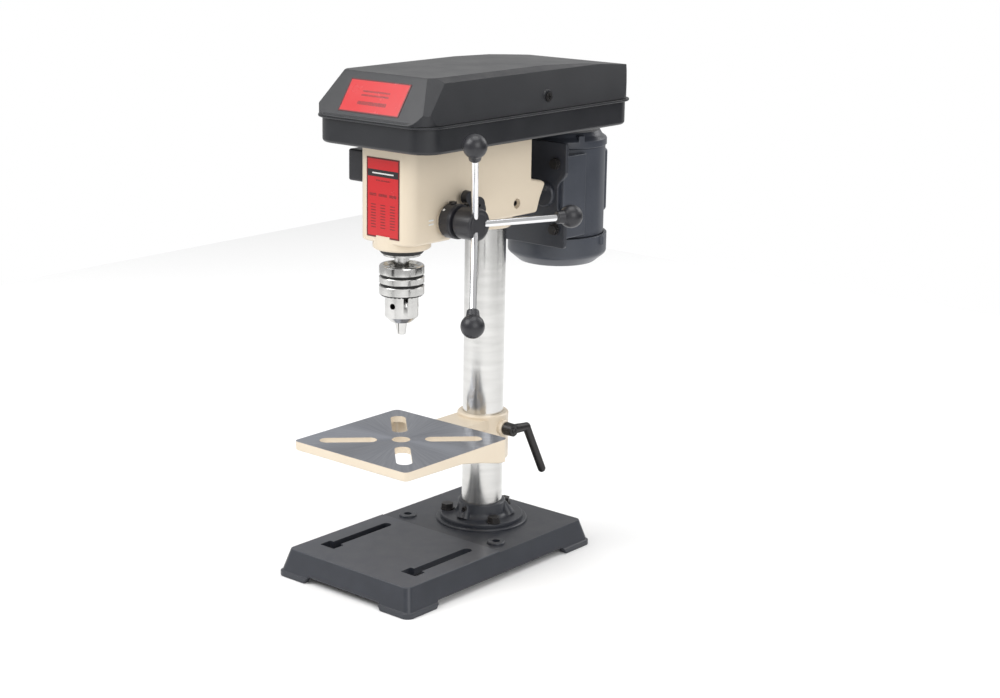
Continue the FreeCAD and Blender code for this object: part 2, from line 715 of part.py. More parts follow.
def build_clamp_lever(lever_z):
    """Cranked lever whose threaded stud clamps the collar on the column."""
    z = lever_z.value
    y = D.column_y.value
    face = D.collar_radius.value + 4
    hub = Part.makeCylinder(D.lever_hub.value, D.lever_hub_long.value,
                            V(face + D.gap.value, y, z), V(1, 0, 0))
    tip = D.column_radius.value + D.gap.value
    stud = Part.makeCylinder(D.stud_radius.value, face + 8 - tip, V(tip, y, z), V(1, 0, 0))
    middle = V(face + 8, y, z)
    bend = middle + V(3, D.lever_reach.value, -1)
    end = bend + V(6, D.lever_fall.value * 0.38, -D.lever_fall.value * 0.92)
    arm = strut(middle, bend, 6, 5.2).fuse(strut(bend, end, 5.2, 4.6))
    keep = Part.makeBox(80, 200, 200, V(face + D.gap.value, y - 100, z - 150))
    node_shape = hub.fuse(stud).fuse(arm.common(keep))
    shape_node("table_clamp_lever", node_shape.removeSplitter())


# ---------------------------------------------------------------- head


def head_casting_block():
    """Side profile and plan outline of the head, shared."""
    side = pad("YZ_Plane", [
        (D.head_front, D.head_bottom), (D.feed_y + 6, D.head_bottom),
        (D.feed_y + 28, D.waist), (D.lug_rear - 14, D.waist), (D.lug_rear - 9, D.bar_z - 9),
        (D.lug_rear, D.bar_z + 8), (D.lug_rear - 6, D.bar_z + 11), (D.head_rear, D.bar_z + 15),
        (D.head_rear, D.head_top), (D.head_front, D.head_top)],
        -D.head_half_rear - 5, D.head_half_rear * 2 + 10)
    plan = pad("XY_Plane", [
        (-D.head_half, D.head_front, D.head_corner), (D.head_half, D.head_front, D.head_corner),
        (D.head_half_rear, D.lug_rear), (-D.head_half_rear, D.lug_rear)],
        D.head_bottom - 5, D.head_top - D.head_bottom + 10)
    return common(side, plan)


def lock_spot():
    """The head lock screw's axis, as (y, z)."""
    return D.column_y + D.lock_back, D.bar_z - D.lock_drop


def tray_screw_spots():
    """The four screws that hold the tray on the head, as (x, y)."""
    rows = (D.head_front + D.tray_screw_front, D.head_rear - D.tray_screw_rear)
    return [(side * D.tray_screw_x, y) for side in (-1, 1) for y in rows]


def build_head(block):
    """Head casting with quill, column, feed shaft and slide bar bores."""
    quill_low = D.head_bottom - D.quill_boss_drop
    lock_y, lock_z = lock_spot()
    knob_y, knob_z = knob_spot()
    parts = [
        block,
        rod(D.quill_boss, 0, D.spindle_y, quill_low, D.quill_boss_drop + 2),
        rod(D.hub_radius + D.column_boss, 0, D.column_y, D.waist - 14, 30),
        rod(D.register, 0, D.spindle_y, D.head_top - 10, 10 + D.tray_wall + 2),
        rod(D.feed_boss, 0, D.feed_y, D.feed_z, D.head_half + D.boss_proud, "x"),
        rod(D.spring_radius - 2, 0, D.feed_y, D.feed_z, D.head_half + 3, "-x"),
        rod(D.feed_boss, 0, D.feed_y, D.feed_z, D.head_half + D.boss_proud, "-x"),
    ]
    cuts = [
        rod(D.quill_radius + D.run_fit, 0, D.spindle_y, quill_low - 1, D.quill_top + 3 - quill_low),
        rod(D.sleeve_bearing, 0, D.spindle_y, D.quill_top, 40),
        rod(D.column_radius + D.run_fit, 0, D.column_y, D.waist - 20,
            D.column_top + 1 - D.waist + 20),
        rod(D.journal_radius + D.run_fit, -60, D.feed_y, D.feed_z, 120, "x"),
        box(-D.core_half, D.core_half, D.feed_y + 18, D.column_y - D.column_radius - 8,
            D.waist + 8, D.head_top + 1),
        rod(D.lock_recess, 36, lock_y, lock_z, 20, "x"),
        rod(D.grub_radius, 15, lock_y, lock_z, 30, "x"),
        rod(D.stud_radius + D.run_fit, D.bar_offset - 1, knob_y, knob_z, 20, "x"),
    ]
    for side in (-1, 1):
        cuts.append(rod(D.bar_radius + D.run_fit, side * D.bar_offset,
                        D.bar_front - D.belt_slack - 3, D.bar_z, 200, "y"))
    for x, y in tray_screw_spots():
        cuts.append(rod(D.tray_screw, x, y, D.head_top - 14, 20))
    node("head_casting", cut(fuse(*parts), *cuts))
    lock = rod(D.grub_radius - 0.1, D.column_radius + D.gap, lock_y, lock_z,
               D.head_half_rear - D.column_radius - 4, "x")
    socket = hexagon(2.2, D.head_half_rear - 7, lock_y, lock_z, 5, "x")
    node("head_lock_screw", cut(lock, socket))
    label_top = D.head_top - D.label_drop
    node("front_label", box(-D.label_half, D.label_half, D.head_front - D.label_thick,
                            D.head_front, label_top - D.label_high, label_top))


def knob_spot():
    """The belt tension knob's axis, as (y, z)."""
    return D.bar_front + D.knob_back, D.bar_z + D.knob_rise


def build_tension_knob():
    """Two-winged knob and screw that lock the right slide bar."""
    y, z = knob_spot()
    face = D.head_half_rear - 2
    tip = D.bar_offset + D.bar_radius + D.gap
    pieces = [rod(D.stud_radius, tip, y, z, face + 8 - tip, "x"), rod(7, face, y, z, 5, "x"),
              rod(10, face + 4, y, z, 13, "x")]
    for angle, reach, radius in ((140, 15, 8), (140, 8, 8.5), (-40, 9, 8.5)):
        wing_y, wing_z = around(y, z, reach, angle)
        pieces.append(rod(radius, face + 5, wing_y, wing_z, 9, "x"))
    node("belt_tension_knob", cut(fuse(*pieces), rod(2, face + 10, y, z, 12, "x")))


# ---------------------------------------------------------------- quill and spindle


def bearing(shaft_radius, outer_radius, y, z, width):
    """A sealed ball bearing drawn as one ring."""
    return cut(rod(outer_radius, 0, y, z, width),
               rod(shaft_radius + D.run_fit, 0, y, z - 1, width + 2))


def rack_cutter(pitch, depth, low, high):
    """Tooth gaps of a 20 degree rack on the quill's rear, one solid per gap."""
    flank = math.tan(math.radians(20))
    backlash = 0.12
    pitch_y = D.feed_y.value - PITCH_RADIUS.value
    addendum = D.gear_module.value
    count_down = int((D.feed_z.value - low) / pitch)
    count_up = int((high - D.feed_z.value) / pitch)
    gaps = []
    for number in range(-count_down, count_up + 1):
        z = D.feed_z.value + number * pitch
        wide = pitch / 4 + backlash / 2 + (addendum + 1) * flank
        narrow = pitch / 4 + backlash / 2 - depth * flank
        corners = [V(-13, pitch_y + addendum + 1, z - wide), V(-13, pitch_y + addendum + 1, z + wide),
                   V(-13, pitch_y - depth, z + narrow), V(-13, pitch_y - depth, z - narrow)]
        wire = Part.makePolygon(corners + [corners[0]])
        gaps.append(Part.Face(wire).extrude(V(26, 0, 0)))
    return gaps


def build_quill():
    """Quill sleeve with its rack, rubber stop ring and two bearings."""
    bearing_radius = D.quill_radius - D.bearing_wall
    seat = D.bearing_high.value + 2
    axis_y = D.spindle_y.value
    low = D.quill_bottom.value
    top = D.quill_top.value
    outer = Part.makeCylinder(D.quill_radius.value, top - low, V(0, axis_y, low))
    bore = Part.makeCylinder((D.quill_radius - D.quill_wall).value, top - low + 2,
                             V(0, axis_y, low - 1))
    seats = [Part.makeCylinder(bearing_radius.value, seat + 1, V(0, axis_y, low - 1)),
             Part.makeCylinder(bearing_radius.value, seat + 1, V(0, axis_y, top - seat))]
    pitch = math.pi * D.gear_module.value
    pitch_y = D.feed_y.value - PITCH_RADIUS.value
    addendum = D.gear_module.value
    rack_low = D.feed_z.value - 3 * pitch
    rack_high = D.feed_z.value + D.quill_travel.value + 2.5 * pitch
    flat = Part.makeBox(26, 10, rack_high - rack_low,
                        V(-13, pitch_y + 0.7 * addendum, rack_low))
    gaps = rack_cutter(pitch, 1.3 * addendum, rack_low + pitch, rack_high - pitch / 2)
    sleeve = outer.cut([bore] + seats).cut([flat] + gaps)
    shape_node("quill", sleeve)
    stop_low = D.head_bottom - D.quill_boss_drop - D.gap - D.stop_high
    ring = cut(cone(D.stop_radius - D.stop_taper, D.stop_radius, 0, D.spindle_y, stop_low,
                    D.stop_high),
               rod(D.quill_radius, 0, D.spindle_y, stop_low - 1, D.stop_high + 2))
    node("quill_stop_ring", ring)
    node("quill_bearings", group(
        bearing(D.spindle_radius, bearing_radius, D.spindle_y, D.quill_bottom + 1, D.bearing_high),
        bearing(D.spindle_radius, bearing_radius, D.spindle_y, D.quill_top - D.bearing_high - 1,
                D.bearing_high)))


def build_spindle():
    """Spindle with a flat-keyed upper shank and a tapered nose."""
    taper_end = D.chuck_top - 21
    nose_top = D.quill_bottom
    radius = D.spindle_radius
    shaft = turned([
        (0, taper_end), (D.nose_radius - 0.7, taper_end), (D.nose_radius - 0.15, D.chuck_top - 4),
        (D.nose_radius, D.chuck_top - 4), (D.nose_radius, nose_top), (radius, nose_top),
        (radius, D.spindle_top), (0, D.spindle_top)], 0, D.spindle_y, 0)
    node("spindle", shaft)


def build_chuck():
    """Three-jaw key chuck: body, turning sleeve and three jaws."""
    top = D.chuck_top
    bottom = D.chuck_bottom
    low = top - D.sleeve_height
    r = D.chuck_radius
    body = turned([
        (0, bottom), (r - 6, bottom), (r, bottom + 6), (r, top - 2.5), (13, top - 2.5), (13, top - 5),
        (0, top - 5)], 0, D.spindle_y, 0)
    taper = turned([
        (0, top - 22), (D.nose_radius - 0.7, top - 21), (D.nose_radius - 0.15, top - 4),
        (D.nose_radius + 0.3, top - 4), (D.nose_radius + 0.3, top), (0, top)], 0, D.spindle_y, 0)
    holes = []
    for number in range(3):
        angle = number * 120 + 40
        x, y = around(0, D.spindle_y, D.chuck_radius - 9, angle)
        key = rod(D.key_hole, x, y, low - D.key_drop, 12)
        key.Placement.Rotation = FreeCAD.Rotation(V(0, 0, 1), V(math.cos(math.radians(angle)),
                                                               math.sin(math.radians(angle)), 0))
        holes.append(key)
        holes.append(held(jaw_bar(number, D.jaw_radius.value + 0.12, 0, 62)))
    node("chuck_body", cut(body, taper, *holes))
    for number in range(3):
        shape_node(f"chuck_jaw_{number + 1}", jaw_shape(number))
    inner = r + D.run_fit
    outer = D.sleeve_radius
    deep = outer - D.groove_deep
    sleeve = turned([
        (inner, low), (outer - 2, low), (outer, low + 2), (outer, low + 10.6), (deep, low + 11.2),
        (deep, low + 13.4), (outer, low + 14), (outer, low + 20.2), (deep, low + 20.8),
        (deep, low + 23), (outer, low + 23.6), (outer, top - 1.5), (outer - 1.5, top),
        (outer - 4, top), (inner, top - 3)], 0, D.spindle_y, 0)
    node("chuck_sleeve", sleeve)


def jaw_direction(number):
    """Unit vector along a jaw, upward and outward, and its outward direction."""
    angle = math.radians(number * 120 + 90)
    outward = V(math.cos(angle), math.sin(angle), 0)
    slope = math.radians(D.jaw_slope.value)
    return (V(0, 0, math.cos(slope)) + outward * math.sin(slope)), outward


def jaw_bar(number, radius, below, above):
    """A round bar on a jaw's axis, as a cutter or a blank."""
    along, outward = jaw_direction(number)
    scale = 1 / math.cos(math.radians(D.jaw_slope.value))
    foot = V(0, D.spindle_y.value, D.jaw_tip.value) + outward * 0.3 - along * below * scale
    return Part.makeCylinder(radius, (below + above) * scale, foot, along)


def jaw_shape(number):
    """One jaw: a leaning round bar with its gripping face upright."""
    outward = jaw_direction(number)[1]
    length = D.jaw_length.value
    bar = jaw_bar(number, D.jaw_radius.value, 3, length + 3)
    reach = 30
    corner = V(0, D.spindle_y.value, D.jaw_tip.value) + outward * 0.5
    side = V(0, 0, 1).cross(outward) * (reach * math.tan(math.pi / 3))
    wire = Part.makePolygon([corner, corner + outward * reach - side,
                             corner + outward * reach + side, corner])
    return bar.common(Part.Face(wire).extrude(V(0, 0, length)))


# ---------------------------------------------------------------- feed


def involute_points(base_radius, tip_radius, steps):
    """Points of an involute from its base circle to the tip, as (radius, angle)."""
    last = math.sqrt((tip_radius / base_radius) ** 2 - 1)
    found = []
    for step in range(steps + 1):
        roll = last * step / steps
        radius = base_radius * math.sqrt(1 + roll * roll)
        found.append((radius, roll - math.atan(roll)))
    return found


def pinion_outline():
    """Closed wire of the pinion in its own plane, one tooth pointing along -Y at the rack."""
    teeth = int(D.gear_teeth.value)
    module = D.gear_module.value
    pitch_radius = PITCH_RADIUS.value
    pressure = math.radians(20)
    base_radius = pitch_radius * math.cos(pressure)
    root = pitch_radius - 1.2 * module
    backlash_angle = 0.05 / pitch_radius
    half_tooth = math.pi / (2 * teeth) + math.tan(pressure) - pressure - backlash_angle
    flank = involute_points(base_radius, pitch_radius + module - 0.05, 5)
    corners = []
    for tooth in range(teeth):
        centre = 2 * math.pi * tooth / teeth - math.pi / 2
        corners.append((root, centre - half_tooth))
        corners += [(radius, centre - half_tooth + turn) for radius, turn in flank]
        corners += [(radius, centre + half_tooth - turn) for radius, turn in reversed(flank)]
        corners.append((root, centre + half_tooth))
    ring = [V(radius * math.cos(turn), radius * math.sin(turn), 0) for radius, turn in corners]
    return Part.makePolygon(ring + [ring[0]])


def build_feed_shaft():
    """Feed shaft with the pinion cut on it, journals each side and a threaded left end."""
    half = D.pinion_half.value
    gear = Part.Face(pinion_outline()).extrude(V(0, 0, 2 * half))
    gear.Placement = FreeCAD.Placement(V(-half, 0, 0), TURN["x"])
    axis = V(1, 0, 0)
    right_face = D.head_half.value + D.boss_proud.value
    left_face = -right_face
    pieces = [
        Part.makeCylinder(D.journal_radius.value, right_face - half, V(half, 0, 0), axis),
        Part.makeCylinder(D.journal_radius.value, -half - left_face, V(left_face, 0, 0), axis),
        Part.makeCylinder(D.shank_radius.value, D.hub_end.value - 4 - right_face + 1,
                          V(right_face - 1, 0, 0), axis),
        Part.makeCylinder(D.thread_radius.value, D.spring_depth.value + 16,
                          V(left_face - D.spring_depth.value - 15, 0, 0), axis)]
    shaft = gear.multiFuse(pieces)
    shaft.translate(V(0, D.feed_y.value, D.feed_z.value))
    shape_node("feed_shaft", shaft)


def rod_direction(number):
    """Unit vector along a handle rod and the root point on the feed axis."""
    angle = math.radians(number * 120)
    root = V(D.rod_root.value, D.feed_y.value, D.feed_z.value)
    radial = V(0, math.cos(angle), math.sin(angle))
    tip = V(D.rod_tip.value, D.feed_y.value, D.feed_z.value) + radial * D.rod_reach.value
    start = root + radial * 10 + V(D.rod_tip.value - D.rod_root.value, 0, 0) * (10 / D.rod_reach.value)
    return start, tip, (tip - start).normalize()


def build_handles():
    """Hub, three leaning rods and their balls."""
    ring_left = D.head_half + D.boss_proud + D.gap
    hub_left = ring_left + D.ring_width + D.gap
    hub = turned([
        (D.shank_radius, 0), (D.handle_hub - 1, 0), (D.handle_hub, 1),
        (D.handle_hub, D.hub_end - hub_left - 1.5), (D.handle_hub - 1.5, D.hub_end - hub_left),
        (0, D.hub_end - hub_left), (0, D.hub_end - hub_left - 4),
        (D.shank_radius, D.hub_end - hub_left - 4)],
        hub_left, D.feed_y, D.feed_z, "x")
    drills = []
    rods = []
    balls = []
    for number in range(3):
        start, tip, along = rod_direction(number)
        drills.append(held(Part.makeCylinder(D.rod_radius.value, (tip - start).Length, start,
                                             along)))
        neck = tip - along * (D.ball_radius.value + 5)
        bar = Part.makeCylinder(D.rod_radius.value, (neck - start).Length + 8, start, along)
        rods.append(bar)
        ball = Part.makeSphere(D.ball_radius.value, tip)
        collar = Part.makeCone(6.2, 7.6, 10, neck, along)
        balls.append(ball.fuse(collar).cut(bar).removeSplitter())
    node("handle_hub", cut(hub, *drills))
    shape_node("handle_rods", Part.makeCompound(rods))
    shape_node("handle_balls", Part.makeCompound(balls))
    ring = turned([
        (D.shank_radius + D.run_fit, 0), (D.ring_radius - 1, 0), (D.ring_radius, 1),
        (D.ring_radius, D.ring_width), (D.shank_radius + D.run_fit, D.ring_width)],
        ring_left, D.feed_y, D.feed_z, "x")
    screw_x = ring_left + D.ring_width / 3
    bore = rod(2.5, screw_x, D.feed_y, D.feed_z, D.ring_radius + 5)
    flat = box(screw_x - 4.5, screw_x + 4.5, D.feed_y - 5, D.feed_y + 5,
               D.feed_z + D.ring_radius - 2, D.feed_z + D.ring_radius + 5)
    node("depth_ring", cut(ring, bore, flat))
    stem = rod(2.5 - D.run_fit, screw_x, D.feed_y, D.feed_z + D.shank_radius + D.gap,
               D.ring_radius - D.shank_radius)
    head = rod(4, screw_x, D.feed_y, D.feed_z + D.ring_radius - 2 + D.gap, 3.5)
    slot = box(screw_x - 0.5, screw_x + 0.5, D.feed_y - 5, D.feed_y + 5,
               D.feed_z + D.ring_radius + D.gap, D.feed_z + D.ring_radius + 9)
    node("depth_lock_screw", cut(fuse(stem, head), slot))


def spiral_strip(inner_radius, outer_radius, turns, thick, width, left, y, z):
    """A flat spiral spring as one strip."""
    steps = int(turns * 24)
    inside = []
    outside = []
    for step in range(steps + 1):
        angle = 2 * math.pi * turns * step / steps
        radius = inner_radius + (outer_radius - inner_radius) * step / steps
        across = V(0, math.cos(angle), math.sin(angle))
        inside.append(across * radius)
        outside.append(across * (radius + thick))
    ring = inside + list(reversed(outside))
    strip = Part.Face(Part.makePolygon(ring + [ring[0]])).extrude(V(width, 0, 0))
    strip.translate(V(left, y, z))
    return strip


def build_spring():
    """Return spring in its cup on the left end of the feed shaft."""
    face = -(D.head_half + 3)
    depth = D.spring_depth
    cup = turned([
        (D.thread_radius + D.gap, 0), (D.spring_radius, 0), (D.spring_radius, -depth),
        (D.thread_radius + D.gap, -depth), (D.thread_radius + D.gap, 1.5 - depth), (D.spring_radius - 1.8, 1.5 - depth), (D.spring_radius - 1.8, -1),
        (D.journal_radius + D.gap, -1), (D.journal_radius + D.gap, 0)],
        face, D.feed_y, D.feed_z, "x")
    node("spring_cup", cut(cup, rod(D.feed_boss + 1, face + 5, D.feed_y, D.feed_z, 6.5, "-x")))
    shape_node("return_spring", spiral_strip(
        7.2, D.spring_radius.value - 3.2, 5, 0.7, 11, face.value - 14.5, D.feed_y.value,
        D.feed_z.value))
    nuts = []
    for number in range(2):
        x = face - depth - 0.5 - 6.2 * number
        nut = hexagon(D.lock_nut, x, D.feed_y, D.feed_z, 5.8, "-x")
        nuts.append(cut(nut, rod(D.thread_radius, x + 1, D.feed_y, D.feed_z, 12, "-x")))
    node("spring_lock_nuts", group(*nuts))


# ---------------------------------------------------------------- belt housing


def housing_outline(proud):
    """Plan outline of the belt housing, grown by proud."""
    return rounded(-D.tray_half - proud, D.tray_half + proud, D.tray_front - proud,
                   D.tray_rear + proud, D.tray_corner + proud)


def build_tray():
    """Belt tray screwed to the head's top face."""
    floor = D.head_top
    top = floor + D.tray_height
    outer = pad("XY_Plane", housing_outline(0), floor, D.tray_height)
    rim = pad("XY_Plane", housing_outline(D.rim_proud), top - 2.5, 2.5)
    inner = pad("XY_Plane", housing_outline(-D.tray_wall), floor + D.tray_wall, D.tray_height)
    shell = cut(fuse(outer, rim), inner)
    screw_y = lid_screw_y()
    ledge = box(D.tray_half - 15, D.tray_half - D.tray_wall + 0.5, screw_y - 9, screw_y + 9,
                floor + 10, top - 3)
    post = box(D.tray_half - 15, D.tray_half - 10, screw_y - 9, screw_y + 9, top - 4, top + 18)
    fork = D.tray_screw + 0.3
    screw_z = top + D.lid_screw_rise
    forked = cut(fuse(ledge, post), rod(fork, D.tray_half - 20, screw_y, screw_z, 30, "x"),
                 box(D.tray_half - 20, D.tray_half + 5, screw_y - fork, screw_y + fork, screw_z,
                     top + 30))
    cuts = [rod(D.register + 0.3, 0, D.spindle_y, floor - 1, D.tray_wall + 2),
            rod(20, 0, D.motor_y, floor - 1, D.tray_wall + 2),
            rod(20, 0, D.motor_y - D.belt_slack, floor - 1, D.tray_wall + 2),
            box(-20, 20, D.motor_y - D.belt_slack, D.motor_y, floor - 1, floor + D.tray_wall + 1)]
    seat = floor + D.tray_wall
    screws = []
    for x, y in tray_screw_spots():
        cuts.append(rod(D.tray_screw + 0.2, x, y, floor - 1, D.tray_wall + 2))
        shank = rod(D.tray_screw, x, y, floor - 13, 13 + D.tray_wall)
        head = rod(4.6, x, y, seat, 3)
        cross = fuse(box(x - 3, x + 3, y - 0.5, y + 0.5, seat + 1.6, seat + 4),
                     box(x - 0.5, x + 0.5, y - 3, y + 3, seat + 1.6, seat + 4))
        screws.append(cut(fuse(shank, head), cross))
    knuckles, pins, lid_parts, lid_cuts = hinge_pieces(top)
    node("belt_tray", cut(fuse(shell, forked, *knuckles), *cuts))
    node("tray_screws", group(*screws))
    node("lid_hinge_pins", group(*pins))
    build_lid(top, lid_parts, lid_cuts)


def lid_screw_y():
    """Where the screw that shuts the lid sits, behind the column."""
    return D.column_y + D.lid_screw_back


def hinge_pieces(top):
    """Knuckles and pins of the two lid hinges on the left side."""
    axis_x = -(D.tray_half + D.rim_proud + D.hinge_out)
    inner_x = 1 - D.tray_half
    rim_x = 0.5 - D.tray_half - D.rim_proud
    z = top + D.gap / 2
    half = D.leaf_long / 2
    fixed = []
    pins = []
    moving = []
    cuts = []
    for y in (D.tray_front + D.hinge_inset, D.tray_rear - D.hinge_inset):
        ends = []
        for low_y in (y - D.hinge_half, y + D.hinge_half - D.leaf_long):
            ends.append(box(axis_x, inner_x, low_y, low_y + D.leaf_long, top - 2.5, top - 0.2))
            ends.append(rod(D.hinge_radius, axis_x, low_y, z, D.leaf_long, "y"))
        fixed.append(cut(fuse(*ends), rod(D.pin_radius, axis_x, y - 25, z, 50, "y")))
        pins.append(rod(D.pin_radius, axis_x, y - D.hinge_half, z, 2 * D.hinge_half, "y"))
        leaf = box(axis_x, inner_x, y - half, y + half, z + 0.2, z + 2.6)
        moving.append(fuse(leaf, rod(D.hinge_radius, axis_x, y - half, z, D.leaf_long, "y")))
        cuts.append(rod(D.pin_radius + D.run_fit, axis_x, y - 10, z, 20, "y"))
        for low_y, high_y in ((y - D.hinge_half - D.gap, y - half),
                              (y + half, y + D.hinge_half + D.gap)):
            cuts.append(box(axis_x - 4.5, rim_x, low_y, high_y, top - 6, top + 5))
    return fixed, pins, moving, cuts


def lid_solid(inset, low):
    """The lid's outer form, or its inside when inset by the wall."""
    front = D.tray_front + inset - 5
    rear = D.tray_rear - inset + 2
    top = D.lid_top - inset
    half = D.tray_half - inset
    side = pad("YZ_Plane", [
        (front, low), (rear, low), (rear - 4.5, D.lid_rear_top - inset),
        (rear - 5 - D.tray_rear * 0.66, top), (front + D.lid_slope + 3, top),
        (front + D.lid_slope, top - 4)], -D.tray_half - 5, D.tray_half * 2 + 10)
    brow = half - D.lid_lean
    section = pad("XZ_Plane", [
        (-half, low), (half, low), (brow, top - 5), (brow - 7, top), (7 - brow, top),
        (-brow, top - 5)], D.tray_front - 30, D.tray_rear - D.tray_front + 60)
    plan = pad("XY_Plane", rounded(-half, half, front, rear, D.tray_corner - inset), low - 5,
               D.lid_top - low + 20)
    return common(side, section, plan)


def build_lid(tray_top, hinge_leaves, hinge_cuts):
    """Hinged lid with its rim, slope label and closing screw."""
    low = tray_top + D.gap
    outer = lid_solid(Size.of(0), low)
    rim = pad("XY_Plane", housing_outline(D.rim_proud), low, 3)
    inner = lid_solid(D.lid_wall, low - 3)
    screw_y = lid_screw_y()
    screw_z = tray_top + D.lid_screw_rise
    seat_x = D.tray_half - D.lid_lean * (screw_z - low) / (D.lid_top - 5 - low) - 1
    hole = rod(D.tray_screw + 0.3, D.tray_half - 20, screw_y, screw_z, 40, "x")
    recess = rod(5.1, seat_x, screw_y, screw_z, 10, "x")
    shell = fuse(cut(fuse(outer, rim), inner), *hinge_leaves)
    node("belt_lid", cut(shell, hole, recess, *hinge_cuts))
    shank = rod(D.tray_screw, D.tray_half - 16, screw_y, screw_z, seat_x - D.tray_half + 16, "x")
    head = rod(4.8, seat_x, screw_y, screw_z, 3, "x")
    cross = fuse(box(seat_x + 1.4, seat_x + 4, screw_y - 3, screw_y + 3, screw_z - 0.6,
                     screw_z + 0.6),
                 box(seat_x + 1.4, seat_x + 4, screw_y - 0.6, screw_y + 0.6, screw_z - 3,
                     screw_z + 3))
    node("lid_screw", cut(fuse(shank, head), cross))
    build_lid_label(low)


def build_lid_label(low):
    """Thin label on the lid's front slope."""
    front = D.tray_front.value - 5
    bottom = low.value
    rise = D.lid_top.value - 4 - bottom
    run = D.lid_slope.value
    up = V(0, run, rise).normalize()
    out = V(0, -rise, run).normalize()
    foot = V(0, front, bottom) + up * D.lid_label_foot.value
    left = foot - V(D.lid_label_half.value, 0, 0)
    right = foot + V(D.lid_label_half.value, 0, 0)
    high = up * D.lid_label_high.value
    face = Part.Face(Part.makePolygon([left, right, right + high, left + high, left]))
    shape_node("lid_label", face.extrude(out * D.label_thick.value))


# ---------------------------------------------------------------- belt drive


def stepped_pulley(radii, bore, hub_radius, y):
    """Five V grooves one above the other, listed from the bottom."""
    high = D.step_height
    base = D.pulley_bottom
    points = [(bore, base - 3), (hub_radius, base - 3), (hub_radius, base)]
    for number, radius in enumerate(radii):
        z = base + high * number
        groove = D.belt_thick + 2
        points += [(radius, z), (radius, z + 0.6), (radius - groove, z + 2.6),
                   (radius - groove, z + high - 2.6), (radius, z + high - 0.6), (radius, z + high)]
    points.append((bore, base + high * len(radii)))
    cleaned = [points[0]]
    for point in points[1:]:
        last = cleaned[-1]
        same_r = abs(Size.of(point[0]).value - Size.of(last[0]).value) < 1e-6
        same_z = abs(Size.of(point[1]).value - Size.of(last[1]).value) < 1e-6
        if not (same_r and same_z):
            cleaned.append(point)
    return turned(cleaned, 0, y, 0)


def build_pulleys():
    """Spindle pulley on its splined sleeve, motor pulley, and the belt on the middle step."""
    step = D.step_radius
    steps = int(D.pulley_steps.value)
    middle = steps // 2
    spindle_radii = [D.spindle_step - step * number for number in range(steps)]
    motor_radii = [D.motor_step + step * number for number in range(steps)]
    sleeve_low = D.quill_top + 4
    top = D.pulley_bottom + D.step_height * steps
    node("spindle_pulley", stepped_pulley(spindle_radii, D.sleeve_outer, D.spindle_hub,
                                          D.spindle_y))
    sleeve = cut(rod(D.sleeve_outer, 0, D.spindle_y, sleeve_low, top + 6 - sleeve_low),
                 rod(D.spindle_radius + D.run_fit, 0, D.spindle_y, sleeve_low - 1,
                     top + 10 - sleeve_low))
    node("spindle_sleeve", sleeve)
    nut = cut(hexagon(13, 0, D.spindle_y, top + 0.1, 5),
              rod(D.sleeve_outer, 0, D.spindle_y, top - 1, 10))
    node("pulley_nut", nut)
    node("sleeve_bearings", group(
        bearing(D.sleeve_outer, D.sleeve_bearing, D.spindle_y, sleeve_low + 1, 9),
        bearing(D.sleeve_outer, D.sleeve_bearing, D.spindle_y, sleeve_low + 11, 9)))
    node("motor_pulley", stepped_pulley(motor_radii, D.motor_shaft, D.motor_hub, D.motor_y))
    build_belt(spindle_radii[middle].value, motor_radii[middle].value)


def build_belt(spindle_radius, motor_radius):
    """V-belt round the middle steps, as one closed strip."""
    thick = D.belt_thick.value
    wide = D.belt_width.value
    far = D.motor_y.value - D.spindle_y.value
    middle = (D.pulley_bottom + D.step_height * D.pulley_steps / 2).value
    big = spindle_radius - thick / 2 - 0.7
    small = motor_radius - thick / 2 - 0.7
    lean = math.asin((big - small) / far)
    first = V(0, D.spindle_y.value, middle)
    second = V(0, D.motor_y.value, middle)
    right = V(math.cos(lean), math.sin(lean), 0)
    left = V(-math.cos(lean), math.sin(lean), 0)
    path = Part.Wire([
        Part.makeLine(first + right * big, second + right * small),
        Part.Arc(second + right * small, second + V(0, small, 0), second + left * small).toShape(),
        Part.makeLine(second + left * small, first + left * big),
        Part.Arc(first + left * big, first + V(0, -big, 0), first + right * big).toShape()])
    start = first + right * big
    half = thick / 2
    section = [start + right * -half + V(0, 0, -wide * 0.26), start + right * half + V(0, 0, -wide * 0.44),
               start + right * half + V(0, 0, wide * 0.44), start + right * -half + V(0, 0, wide * 0.26)]
    profile = Part.makePolygon(section + [section[0]])
    belt = path.makePipeShell([profile], True, True)
    shape_node("drive_belt", belt)


# ---------------------------------------------------------------- motor


